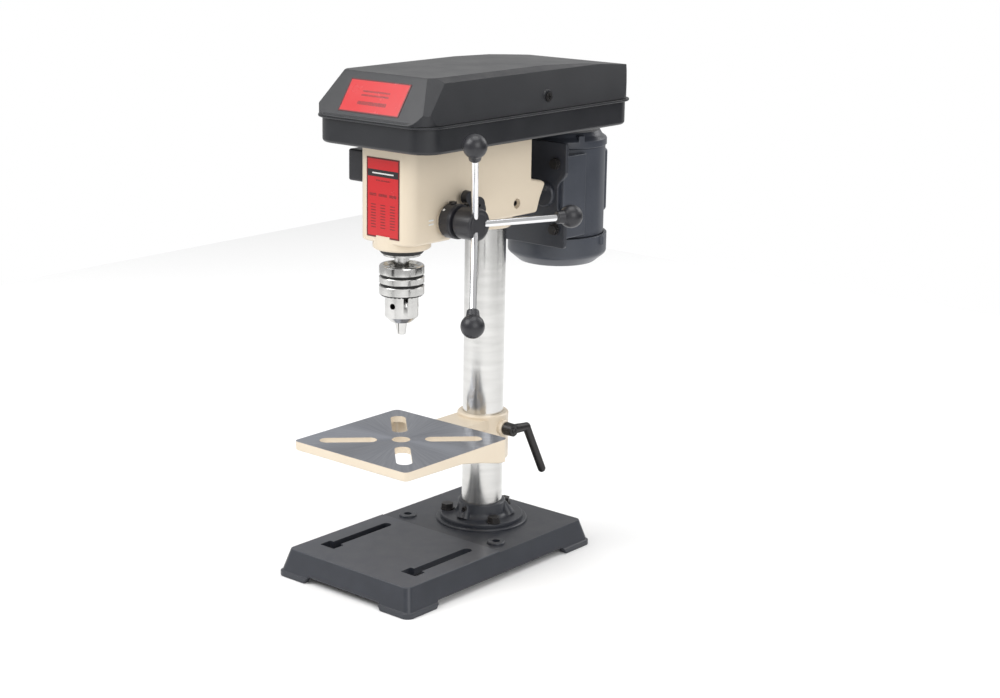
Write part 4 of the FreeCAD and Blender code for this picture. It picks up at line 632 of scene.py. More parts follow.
@dataclass(frozen=True)
class Finish:
    """What every finish has: a name, a colour and how it shines."""

    name: str
    colour: Colour
    roughness: float
    second: Colour = (0.0, 0.0, 0.0)
    variation: float = 0.25
    bump: float = 0.05
    scale: float = 900.0
    broad: float = 45.0
    stretch: tuple[float, float, float] = (1.0, 1.0, 1.0)
    wear: float = 0.0
    bare: Colour = (0.5, 0.5, 0.5)
    dust: float = 0.0
    metal: float = 0.0
    coat: float = 0.0
    soft_edge: float = 0.7
    specular: float = 0.5

    def shader(self) -> tuple[bpy.types.Material, Nodes, bpy.types.Node, bpy.types.NodeSocket]:
        """A new material with its main shader and the coordinates that its patterns use."""
        material = bpy.data.materials.new(self.name)
        material.use_nodes = True
        material.node_tree.nodes.clear()
        sheet = Nodes(material.node_tree)
        main = sheet.add("ShaderNodeBsdfPrincipled")
        end = sheet.add("ShaderNodeOutputMaterial")
        sheet.feed(end.inputs["Surface"], main.outputs[0])
        main.inputs["Specular IOR Level"].default_value = self.specular
        main.inputs["Metallic"].default_value = self.metal
        main.inputs["Coat Weight"].default_value = self.coat
        main.inputs["Coat Roughness"].default_value = 0.18
        place = sheet.add("ShaderNodeMapping")
        place.inputs["Scale"].default_value = self.stretch
        sheet.feed(place.inputs["Vector"], sheet.add("ShaderNodeTexCoord").outputs["Object"])
        material.diffuse_color = (*self.colour, 1.0)
        return material, sheet, main, place.outputs[0]

    def use(self, sheet: Nodes, tree: bpy.types.NodeTree) -> bpy.types.Node:
        """One of the shared effects, placed in this material."""
        return sheet.add("ShaderNodeGroup", node_tree=tree)

    def pattern(self, sheet: Nodes, at: bpy.types.NodeSocket,
                effects: Effects) -> tuple[bpy.types.NodeSocket, bpy.types.NodeSocket]:
        """Height and tone of the surface pattern."""
        grain = self.use(sheet, effects.grain)
        sheet.feed(grain.inputs["Vector"], at)
        grain.inputs["Scale"].default_value = self.scale
        grain.inputs["Broad"].default_value = self.broad
        return grain.outputs["Height"], grain.outputs["Tone"]

    def base(self, sheet: Nodes, at: bpy.types.NodeSocket,
             tone: bpy.types.NodeSocket) -> bpy.types.NodeSocket:
        """The colour before wear and dust."""
        return sheet.mix(sheet.math("MULTIPLY", tone, self.variation), self.colour, self.second)

    def make(self, effects: Effects) -> bpy.types.Material:
        """The whole material: pattern, colour, wear, dust and bump."""
        material, sheet, main, at = self.shader()
        height, tone = self.pattern(sheet, at, effects)
        colour = self.base(sheet, at, tone)
        rough = sheet.math("ADD", self.roughness - 0.04, sheet.math("MULTIPLY", tone, 0.08))
        edge = self.use(sheet, effects.edge_wear)
        edge.inputs["Reach"].default_value = self.soft_edge * MM
        edge.inputs["Amount"].default_value = self.wear
        if self.wear:
            colour = sheet.mix(edge.outputs["Mask"], colour, self.bare)
        if self.dust:
            film = self.use(sheet, effects.dust)
            film.inputs["Amount"].default_value = self.dust
            colour = sheet.mix(film.outputs["Mask"], colour, (0.42, 0.40, 0.37))
            rough = sheet.math("ADD", rough, sheet.math("MULTIPLY", film.outputs["Mask"], 0.4))
        sheet.feed(main.inputs["Base Color"], colour)
        sheet.feed(main.inputs["Roughness"], rough)
        bump = sheet.add("ShaderNodeBump")
        bump.inputs["Strength"].default_value = self.bump
        bump.inputs["Distance"].default_value = 0.0004
        sheet.feed(bump.inputs["Height"], height)
        sheet.feed(bump.inputs["Normal"], edge.outputs["Soft Normal"])
        sheet.feed(main.inputs["Normal"], bump.outputs[0])
        self.extra(sheet, main, at)
        return material

    def extra(self, sheet: Nodes, main: bpy.types.Node, at: bpy.types.NodeSocket) -> None:
        """What a special finish adds to its shader."""


@dataclass(frozen=True)
class GroundFace(Finish):
    """A flat face ground from its middle outwards, so light fans out on it."""

    centre: tuple[float, float] = (0.0, 0.0)

    def pattern(self, sheet: Nodes, at: bpy.types.NodeSocket,
                effects: Effects) -> tuple[bpy.types.NodeSocket, bpy.types.NodeSocket]:
        """Height of the fanned marks, and their tone, which also paints the sheen that streaks out
        from the spindle.
        """
        marks = self.use(sheet, effects.rings)
        moved = sheet.vector("SUBTRACT", at, (self.centre[0] * MM, self.centre[1] * MM, 0.0))
        sheet.feed(marks.inputs["Vector"], moved.outputs[0])
        marks.inputs["Rays"].default_value = 26.0
        marks.inputs["Rings"].default_value = 14.0
        return marks.outputs["Height"], marks.outputs["Tone"]

    def extra(self, sheet: Nodes, main: bpy.types.Node, at: bpy.types.NodeSocket) -> None:
        """Stretches the highlights across the grinding marks."""
        moved = sheet.vector("SUBTRACT", at, (self.centre[0] * MM, self.centre[1] * MM, 0.0))
        across = sheet.vector("CROSS_PRODUCT", (0.0, 0.0, 1.0), moved.outputs[0])
        main.inputs["Anisotropic"].default_value = 0.85
        sheet.feed(main.inputs["Tangent"], sheet.vector("NORMALIZE", across.outputs[0]).outputs[0])


@dataclass(frozen=True)
class PrintedLabel(Finish):
    """A glossy printed plate: a border, a band and rows of plain lines, with no lettering."""

    foot: tuple[float, float, float] = (0.0, 0.0, 0.0)
    up: tuple[float, float, float] = (0.0, 0.0, 1.0)
    half: float = 23.0
    height: float = 84.0
    band: tuple[float, float] = (0.0, 0.0)
    rows: tuple[tuple[float, float, float, float], ...] = ()
    columns: tuple[tuple[float, float, float, float], ...] = ()
    edge: Colour = (0.12, 0.004, 0.006)
    ink: Colour = (0.09, 0.005, 0.006)

    def base(self, sheet: Nodes, at: bpy.types.NodeSocket,
             tone: bpy.types.NodeSocket) -> bpy.types.NodeSocket:
        """The red ground with its border, band, rows and columns."""
        moved = sheet.vector("SUBTRACT", at, tuple(value * MM for value in self.foot)).outputs[0]
        scaled = sheet.vector("SCALE", moved)
        scaled.inputs["Scale"].default_value = 1 / MM
        u = sheet.split(scaled.outputs[0])["X"]
        v = sheet.vector("DOT_PRODUCT", scaled.outputs[0], self.up).outputs["Value"]
        colour = super().base(sheet, at, tone)
        field_mask = sheet.math("MULTIPLY", sheet.inside(u, 1.6 - self.half, self.half - 1.6),
                                sheet.inside(v, 1.6, self.height - 1.6))
        colour = sheet.mix(field_mask, self.edge, colour)
        letters = sheet.math("GREATER_THAN", sheet.noise(at, 1500.0, 1.0), 0.42)
        marks: bpy.types.NodeSocket | None = None
        for low, high, left, right in self.rows:
            row = sheet.math("MULTIPLY", sheet.inside(u, left, right), sheet.inside(v, low, high))
            row = sheet.math("MULTIPLY", row, letters)
            marks = row if marks is None else sheet.math("MAXIMUM", marks, row)
        for low, high, left, right in self.columns:
            lines = sheet.math("LESS_THAN", sheet.math("MODULO", sheet.math("ADD", v, 200.0), 3.0),
                               1.1)
            lot = sheet.math("MULTIPLY", sheet.inside(u, left, right), sheet.inside(v, low, high))
            lot = sheet.math("MULTIPLY", lot, lines)
            marks = lot if marks is None else sheet.math("MAXIMUM", marks, lot)
        if marks is not None:
            colour = sheet.mix(sheet.math("MULTIPLY", marks, 0.8), colour, self.ink)
        if self.band[1] > self.band[0]:
            strip = sheet.math("MULTIPLY", field_mask, sheet.inside(v, *self.band))
            colour = sheet.mix(strip, colour, (0.012, 0.011, 0.012))
            middle_v = (self.band[0] + self.band[1]) / 2
            bar = sheet.math("MULTIPLY", sheet.inside(u, -15.0, 15.0),
                             sheet.inside(v, middle_v - 0.7, middle_v + 0.7))
            colour = sheet.mix(bar, colour, (0.75, 0.74, 0.72))
        return colour


class PaintShop:
    """Every finish of the press, made once each, by the record's material slots."""

    def __init__(self, spindle_y: float) -> None:
        label_low, label_high = extent("lid_label")
        slope = Vector((0, label_high.y - label_low.y, label_high.z - label_low.z))
        front_low, front_high = extent("front_label")
        self.effects = Effects()
        self.finishes: dict[str, Finish] = {
            "cast_black": Finish("satin slate black enamel", (0.020, 0.023, 0.031), 0.42,
                                 (0.034, 0.038, 0.050), 0.5, 0.10, 700.0, 40.0, wear=0.25,
                                 bare=(0.10, 0.105, 0.12), dust=0.05, coat=0.15),
            "cream_enamel": Finish("smooth cream enamel", (0.74, 0.64, 0.50), 0.34,
                                   (0.68, 0.575, 0.44), 0.35, 0.035, 500.0, 30.0, wear=0.10,
                                   bare=(0.46, 0.40, 0.32), coat=0.25),
            "ground_steel": Finish("ground and polished steel", (0.66, 0.655, 0.64), 0.20,
                                   (0.52, 0.515, 0.50), 0.4, 0.03, 1400.0, 60.0,
                                   stretch=(0.25, 0.25, 2.5), metal=1.0, soft_edge=0.3),
            "bright_chrome": Finish("bright chrome plate", (0.84, 0.84, 0.85), 0.09,
                                    (0.70, 0.70, 0.72), 0.2, 0.01, 600.0, 30.0, metal=1.0,
                                    soft_edge=0.3),
            "dark_steel": Finish("black oxide steel", (0.030, 0.029, 0.030), 0.38,
                                 (0.055, 0.050, 0.048), 0.6, 0.06, 900.0, 90.0, wear=0.5,
                                 bare=(0.22, 0.21, 0.20), metal=0.6, soft_edge=0.4),
            "cover_plastic": Finish("black moulded cover plastic", (0.014, 0.015, 0.018), 0.36,
                                    (0.020, 0.021, 0.025), 0.5, 0.11, 1500.0, 25.0, wear=0.12,
                                    bare=(0.05, 0.05, 0.055), dust=0.07),
            "knob_plastic": Finish("satin phenolic plastic", (0.018, 0.018, 0.022), 0.36,
                                   (0.030, 0.030, 0.035), 0.4, 0.05, 900.0, 60.0, wear=0.2,
                                   bare=(0.06, 0.06, 0.065), soft_edge=0.5),
            "motor_enamel": Finish("satin slate motor enamel", (0.040, 0.046, 0.060), 0.40,
                                   (0.055, 0.062, 0.080), 0.4, 0.06, 600.0, 35.0, wear=0.2,
                                   bare=(0.16, 0.17, 0.19), dust=0.05, coat=0.12),
            "label_red": PrintedLabel(
                "printed front plate", (0.56, 0.010, 0.014), 0.25, (0.50, 0.008, 0.012), 0.3,
                0.01, 900.0, 40.0, coat=0.3, foot=(0.0, 0.0, front_low.z), half=23.0,
                height=front_high.z - front_low.z, band=(64.0, 71.5),
                rows=((59.5, 61.0, -10.0, 10.0), (43.5, 46.5, -19.0, -9.0),
                      (43.5, 46.5, -6.0, 6.0), (43.5, 46.5, 9.0, 19.0)),
                columns=((9.0, 37.0, -17.0, -10.0), (9.0, 37.0, -3.5, 3.5),
                         (9.0, 37.0, 10.0, 17.0))),
            "pulley_alloy": Finish("turned aluminium", (0.60, 0.60, 0.61), 0.30,
                                   (0.48, 0.48, 0.49), 0.5, 0.08, 1500.0, 90.0,
                                   stretch=(0.3, 0.3, 3.0), metal=1.0, soft_edge=0.3),
            "belt_rubber": Finish("black rubber", (0.014, 0.014, 0.014), 0.72,
                                  (0.028, 0.028, 0.028), 0.6, 0.15, 1800.0, 120.0, dust=0.2),
            "winding_copper": Finish("lacquered copper wire", (0.50, 0.20, 0.08), 0.32,
                                     (0.28, 0.10, 0.04), 0.8, 0.6, 500.0, 80.0,
                                     stretch=(0.3, 0.3, 4.0), metal=0.8, coat=0.4),
            "core_steel": Finish("stacked sheet steel", (0.24, 0.24, 0.25), 0.45,
                                 (0.12, 0.12, 0.13), 0.8, 0.5, 700.0, 80.0,
                                 stretch=(0.05, 0.05, 3.0), metal=0.9),
            "start_green": Finish("green button cap", (0.02, 0.30, 0.07), 0.28,
                                  (0.015, 0.24, 0.05), 0.3, 0.02, 600.0, 60.0, coat=0.3),
            "stop_red": Finish("red button cap", (0.50, 0.015, 0.015), 0.28,
                               (0.42, 0.010, 0.010), 0.3, 0.02, 600.0, 60.0, coat=0.3),
        }
        self.special: dict[str, Finish] = {
            "lid_label": PrintedLabel(
                "printed slope plate", (0.56, 0.010, 0.014), 0.25, (0.50, 0.008, 0.012), 0.3,
                0.01, 900.0, 40.0, coat=0.3, foot=(0.0, label_low.y, label_low.z),
                up=tuple(slope.normalized()), half=label_high.x, height=slope.length,
                rows=((24.0, 26.0, -19.0, 19.0), (19.5, 21.5, -19.0, 19.0),
                      (9.5, 13.5, -20.0, 20.0))),
            # The table top's colour varies along the fanned grinding marks, partly as painted sheen.
            "table_face": GroundFace("fanned ground steel", (0.40, 0.415, 0.455), 0.33,
                                     (0.30, 0.315, 0.36), 0.7, 0.05, metal=1.0, soft_edge=0.2,
                                     centre=(0.0, spindle_y)),
            # A lighter enamel for the pad's up-facing faces: painted sheen standing in for its satin
            # reflection, over a real machined pad.
            "machined_pad": Finish("satin slate enamel on a machined pad", (0.040, 0.045, 0.058),
                                   0.40, (0.055, 0.060, 0.074), 0.5, 0.07, 700.0, 25.0, wear=0.3,
                                   bare=(0.14, 0.145, 0.16), dust=0.06, coat=0.15),
            # Near-black painted shade for the chuck's grooves, bores and underside.
            "groove": Finish("dark groove", (0.012, 0.012, 0.012), 0.5, (0.03, 0.03, 0.03), 0.5,
                             0.05, metal=0.6),
            "white_mark": Finish("white index paint", (0.80, 0.79, 0.76), 0.4,
                                 (0.7, 0.69, 0.66), 0.3, 0.03),
        }
        self.made: dict[str, bpy.types.Material] = {}

    def get(self, name: str) -> bpy.types.Material:
        """The material of a slot or a special finish, made on first use."""
        if name not in self.made:
            finish = self.finishes.get(name) or self.special[name]
            self.made[name] = finish.make(self.effects)
        return self.made[name]

    def dress_frame(self) -> None:
        """Gives every frame node that still shows its finish."""
        for row in frame["record"]["subparts"]:
            obj = frame["nodes"][row["node"]]
            name = row["node"] if row["node"] in self.special else row["material_slot"]
            if not obj.material_slots:
                obj.data.materials.append(None)
            for slot in obj.material_slots:
                slot.material = self.get(name)
            LOG.info("%s dressed in %s", row["node"], name)


# ---------------------------------------------------------------- sub-assemblies


@dataclass
class BasePlate:
    """The cast base with feet, work slots, bench holes and the column's flange."""

    lip: float = 6.0
    ledge: float = 2.0
    draft: float = 7.0
    wall: float = 7.0
    corner: float = 9.0
    pad_top: float = 30.9
    deck_top: float = 29.5
    pad_rear: float = -20.0
    arch: float = 7.5
    foot: tuple[float, float] = (40.0, 45.0)
    slot_x: float = 60.0
    slot_half: float = 5.5
    slot_ends: tuple[float, float] = (-137.0, -37.0)
    entry: tuple[float, float, float] = (-138.0, -122.0, 10.5)
    bench_x: float = 66.0
    seat_radius: float = 52.0
    bolt_circle: float = 40.0

    def casting_form(self, name: str, inset: float, bottom: float, top: float,
                     ledge: float) -> Shape:
        """The outer form of the base, or its hollow when inset."""
        low, high = extent("base")
        half_x = (high.x - low.x) / 2 - inset
        half_y = (high.y - low.y) / 2 - inset
        centre = (high.y + low.y) / 2
        corners = rectangle((-half_x, centre - half_y), (half_x, centre + half_y))
        form = Shape.prism(name, corners, Axis.Z, bottom, self.lip - bottom,
                           {number: self.corner for number in range(4)})
        narrow = ((half_x - ledge - self.draft) / (half_x - ledge),
                  (half_y - ledge - self.draft) / (half_y - ledge))
        return form.raise_top(top - self.lip, narrow, ledge)

    def arches(self) -> list[Shape]:
        """Cutters for the arches between the feet, with leaning ends."""
        low, high = extent("base")
        span_x = high.x - self.foot[0]
        centre = (high.y + low.y) / 2
        span_y = (high.y - low.y) / 2 - self.foot[1]
        lean = self.arch * 0.7
        front = [(-span_x, -1.0), (span_x, -1.0), (span_x - lean, self.arch),
                 (lean - span_x, self.arch)]
        side = [(centre - span_y, -1.0), (centre + span_y, -1.0),
                (centre + span_y - lean, self.arch), (centre - span_y + lean, self.arch)]
        return [Shape.prism("front_arch", front, Axis.Y, low.y - 1, 17),
                Shape.prism("rear_arch", front, Axis.Y, high.y - 16, 17),
                Shape.prism("left_arch", side, Axis.X, low.x - 1, 12),
                Shape.prism("right_arch", side, Axis.X, high.x - 11, 12)]

    def openings(self) -> list[Shape]:
        """Cutters for the work slots and the bench holes."""
        tools = []
        for side in (-1, 1):
            x = side * self.slot_x
            front, rear = self.slot_ends
            run = rectangle((x - self.slot_half, front), (x + self.slot_half, rear))
            tools.append(Shape.prism("slot", run, Axis.Z, -1, 40, {2: 5.3, 3: 5.3}))
            start, end, wide = self.entry
            mouth = rectangle((x - wide, start), (x + wide, end))
            tools.append(Shape.prism("entry", mouth, Axis.Z, -1, 40,
                                     {number: 1.5 for number in range(4)}))
            hole = (side * self.bench_x, 0.0)
            tools.append(Shape.bar("hole", 4.5, (*hole, -1), (*hole, 40)))
        return tools

    def build(self, paint: PaintShop) -> None:
        """Models and seats the base and the flange."""
        low, high = extent("base")
        column = middle("column")
        form = self.casting_form("base_plate", 0.0, low.z, self.pad_top, self.ledge)
        form.less(*self.arches()).rounded(2.4, 4, 20)
        form.less(Shape.block("rear_step", (low.x - 1, self.pad_rear, self.deck_top),
                              (high.x + 1, high.y + 1, self.pad_top + 5)))
        form.plus(Shape.lathe("seat", [(0, 20), (self.seat_radius, 20),
                                       (self.seat_radius, high.z - 1.2),
                                       (self.seat_radius - 1.2, high.z), (0, high.z)],
                              (0, column.y, 0), sides=96))
        for side in (-1, 1):
            form.plus(Shape.lathe("boss", [(0, 24), (11, 24), (10, 31.2), (9.2, 31.9), (0, 31.9)],
                                  (side * self.bench_x, 0, 0), sides=40))
        form.less(self.casting_form("hollow", self.wall, -6.0, self.deck_top - self.wall, 0.0))
        for side in (-1, 1):
            spot = (side * self.bench_x, 0.0)
            form.plus(Shape.bar("bench_post", 10, (*spot, 0.6), (*spot, 26)))
        form.plus(Shape.bar("centre_post", 27, (0, column.y, 8), (0, column.y, 26)))
        form.less(*self.openings())
        for turn in (90, 210, 330):
            spot = around((0, column.y), self.bolt_circle, turn)
            form.less(Shape.bar("bolt_hole", 4.1, (*spot, 6), (*spot, 40)))
        form.rounded(0.5, 2, 40).shade()
        form.paint(paint.get("cast_black"))
        # Up-facing faces of the front pad take the lighter enamel, a painted sheen over the machined
        # pad.
        form.paint(paint.get("machined_pad"),
                   lambda at, way: at.z > self.deck_top + 0.5 and way.z > 0.7
                   and at.y < self.pad_rear + 1)
        form.fit(Body.STAND, "cast_black", "base")
        self.flange(paint, column)

    def flange(self, paint: PaintShop, column: Vector) -> None:
        """The bolted flange with its hub and ribs."""
        low, high = extent("column_flange")
        rim = high.x
        disc = low.z + 4.5
        bore = 23.05
        hub = 27.0
        piece = Shape.lathe(
            "column_flange_casting",
            [(bore, low.z), (rim, low.z), (rim, disc - 1.2), (rim - 0.5, disc - 0.4),
             (rim - 1.3, disc), (35, disc), (32, disc + 0.8), (29.4, disc + 2.6),
             (28, disc + 5.4), (hub, high.z - 1.5), (hub - 1.2, high.z - 0.3),
             (hub - 2, high.z), (bore, high.z)], (0, column.y, 0), sides=96)
        for turn in (30, 150, 270):
            foot = around((0, column.y), hub + 3.5, turn)
            top = around((0, column.y), hub - 2, turn)
            rib = Shape.bar("rib", 8.5, (*foot, disc - 1), (*top, high.z - 3), 3.5, 24)
            piece.plus(rib.less(Shape.bar("core", bore, (0, column.y, low.z - 1),
                                          (0, column.y, high.z + 5), sides=72)))
        for turn in (90, 210, 330):
            spot = around((0, column.y), self.bolt_circle, turn)
            piece.less(Shape.bar("spot_face", 8.6, (*spot, disc), (*spot, high.z + 3), sides=32))
        piece.less(Shape.bar("screw_hole", 3.05, (0, column.y - 22, high.z - 6),
                             (0, column.y - 40, high.z - 6), sides=24))
        piece.rounded(0.5, 2, 40).shade()
        piece.paint(paint.get("cast_black")).fit(Body.STAND, "cast_black", "column_flange")


@dataclass
class ColumnTube:
    """The round ground column."""

    wall: float = 3.0

    def build(self, paint: PaintShop) -> None:
        """Models and seats the tube."""
        low, high = extent("column")
        radius = (high.x - low.x) / 2
        centre = middle("column")
        tube = Shape.lathe("column_tube", [
            (radius - self.wall, low.z), (radius, low.z), (radius, high.z - 1.5),
            (radius - 1.2, high.z), (radius - self.wall, high.z)], (0, centre.y, 0), sides=128)
        tube.shade().paint(paint.get("ground_steel")).fit(Body.COLUMN, "ground_steel", "column")


@dataclass
class WorkTable:
    """The square cast table with its collar, slots and clamp lever."""

    size: float = 164.0
    front: float = -166.0
    top: float = 154.0
    skirt: float = 27.0
    edge: float = 10.0
    deck: float = 7.0
    wall: float = 5.0
    corner: float = 6.0
    collar_radius: float = 29.0
    collar_low: float = 104.0
    collar_high: float = 158.0
    bore: float = 23.05
    lever_z: float = 143.0
    slot_half: float = 8.5
    slot_ends: tuple[float, float] = (26.0, 88.0)

    def casting(self, column_y: float, spindle_y: float) -> Shape:
        """The casting before its holes."""
        half = self.size / 2
        rear = self.front + self.size
        low = self.top - self.skirt
        under = self.top - self.edge
        plate = Shape.prism("work_table", rectangle((-half, self.front), (half, rear)), Axis.Z,
                            low, self.skirt, {number: self.corner for number in range(4)})
        relief = [(self.front - 5, low - 5), (rear + 5, low - 5), (rear + 5, low),
                  (rear - 14, low + 1.5), (rear - 44, low + 9),
                  (self.front + self.size * 0.55, under - 2), (self.front - 5, under)]
        plate.less(Shape.prism("relief", relief, Axis.X, -half - 5, self.size + 10))
        plate.rounded(1.6, 3, 50)
        plate.less(Shape.block("above", (-100, self.front - 5, self.top - 1.6),
                               (100, rear + 5, self.top + 3)))
        lid = Shape.prism("ground_layer", rectangle((-half, self.front), (half, rear)), Axis.Z,
                          self.top - 3, 3, {number: self.corner for number in range(4)})
        plate.plus(lid)
        inner = rectangle((self.wall - half, self.front + self.wall), (half - self.wall,
                                                                     rear - self.wall))
        plate.less(Shape.prism("hollow", inner, Axis.Z, low - 1, self.skirt - self.deck + 1,
                               {number: 3.0 for number in range(4)}))
        plate.plus(
            Shape.block("cross_rib", (-half + 2, spindle_y - 2, under), (half - 2, spindle_y + 2,
                                                                        self.top - 2)),
            Shape.bar("hole_boss", 16, (0, spindle_y, under), (0, spindle_y, self.top - 1)),
            Shape.prism("keel", [(rear - 60, under - 1), (rear - 2, low + 1),
                                 (rear - 2, self.top - 2), (rear - 60, self.top - 2)],
                        Axis.X, -3, 6),
            Shape.block("tongue", (-23, rear - self.wall, under), (23, column_y, self.top)),
            Shape.prism("web", [(rear - 2, low), (column_y, self.collar_low + 6),
                                (column_y, under + 1), (rear - 2, under + 1)], Axis.X, -19, 38),
            Shape.lathe("collar", [(0, self.collar_low), (self.collar_radius - 1.5, self.collar_low),
                                   (self.collar_radius, self.collar_low + 1.5),
                                   (self.collar_radius, self.collar_high - 1.5),
                                   (self.collar_radius - 1.5, self.collar_high),
                                   (0, self.collar_high)], (0, column_y, 0), sides=80),
            Shape.lathe("stud_boss", [(0, 0), (9, 0), (9, self.collar_radius + 2.6),
                                      (7.6, self.collar_radius + 4),
                                      (0, self.collar_radius + 4)],
                        (0, column_y, self.lever_z), (1, 0, 0), 40))
        return plate

    def slot(self, centre_y: float, turn: float) -> Shape:
        """Cutter for one diagonal slot with round ends."""
        way = Vector((math.cos(math.radians(turn)), math.sin(math.radians(turn))))
        side = Vector((-way.y, way.x))
        near, far = self.slot_ends
        corners = [way * near - side * self.slot_half, way * far - side * self.slot_half,
                   way * far + side * self.slot_half, way * near + side * self.slot_half]
        outline = [(spot.x, spot.y + centre_y) for spot in corners]
        return Shape.prism("slot", outline, Axis.Z, self.top - 40, 60,
                           {number: self.slot_half - 0.2 for number in range(4)})

    def build(self, paint: PaintShop) -> None:
        """Models and seats the table and its lever."""
        column = middle("column")
        spindle_y = middle("spindle").y
        table = self.casting(column.y, spindle_y)
        table.less(
            Shape.bar("column_bore", self.bore, (0, column.y, 90), (0, column.y, 170), sides=96),
            Shape.bar("work_hole", 10, (0, spindle_y, 120), (0, spindle_y, 160), sides=56),
            Shape.bar("stud_hole", 4.05, (22, column.y, self.lever_z), (45, column.y,
                                                                      self.lever_z)),
            *[self.slot(spindle_y, turn) for turn in (45, 135, 225, 315)])
        table.rounded(0.45, 2, 45).shade()
        table.paint(paint.get("cream_enamel"))
        rear = self.front + self.size
        table.paint(paint.get("table_face"),
                    lambda at, way: at.z > self.top - 0.9 and way.z > 0.55 and at.y < rear + 0.5
                    and at.z < self.top + 0.3)
        table.fit(Body.TABLE, "cream_enamel", "table")
        self.lever(paint, column.y)

    def lever(self, paint: PaintShop, column_y: float) -> None:
        """The cranked clamp lever with its threaded stud."""
        face = self.collar_radius + 4.4
        root = Vector((face + 7.6, column_y, self.lever_z))
        bend = root + Vector((3, 24, -1))
        end = bend + Vector((6, 22.0, -53.4))
        mid = bend + (end - bend) * 0.12
        arm = Shape.bar("table_lever", 7.5, (face + 0.6, column_y, self.lever_z),
                        (face + 13, column_y, self.lever_z), 7.2, 40)
        arm.joined(Shape.bar("arm", 5.9, root, bend, 4.8, 28), Shape.ball("elbow", 5.0, bend),
                   Shape.bar("neck", 5.0, bend, mid, 4.7, 28), Shape.ball("knee", 4.8, mid),
                   Shape.bar("grip", 4.7, mid, end, 4.6, 28), Shape.ball("tip", 4.6, end))
        arm.melted(0.55, 6)
        arm.slice((face + 0.05, 0, 0), (-1, 0, 0))
        arm.shade(60)
        stud = Shape.lathe("stud", [(0, 23.4), (3.6, 23.4), (4, 24), (4, face + 2), (0, face + 2)],
                           (0, column_y, self.lever_z), (1, 0, 0), 32).shade()
        screw = Shape.lathe("cap_screw", [(1.8, 0), (3.6, 0), (3.6, 1.2), (3.2, 1.6), (1.8, 1.6)],
                            (face + 12.6, column_y, self.lever_z), (1, 0, 0), 32).shade()
        arm.joined(stud, screw).paint(paint.get("dark_steel"))
        arm.fit(Body.TABLE_CLAMP, "dark_steel", "table_clamp_lever")


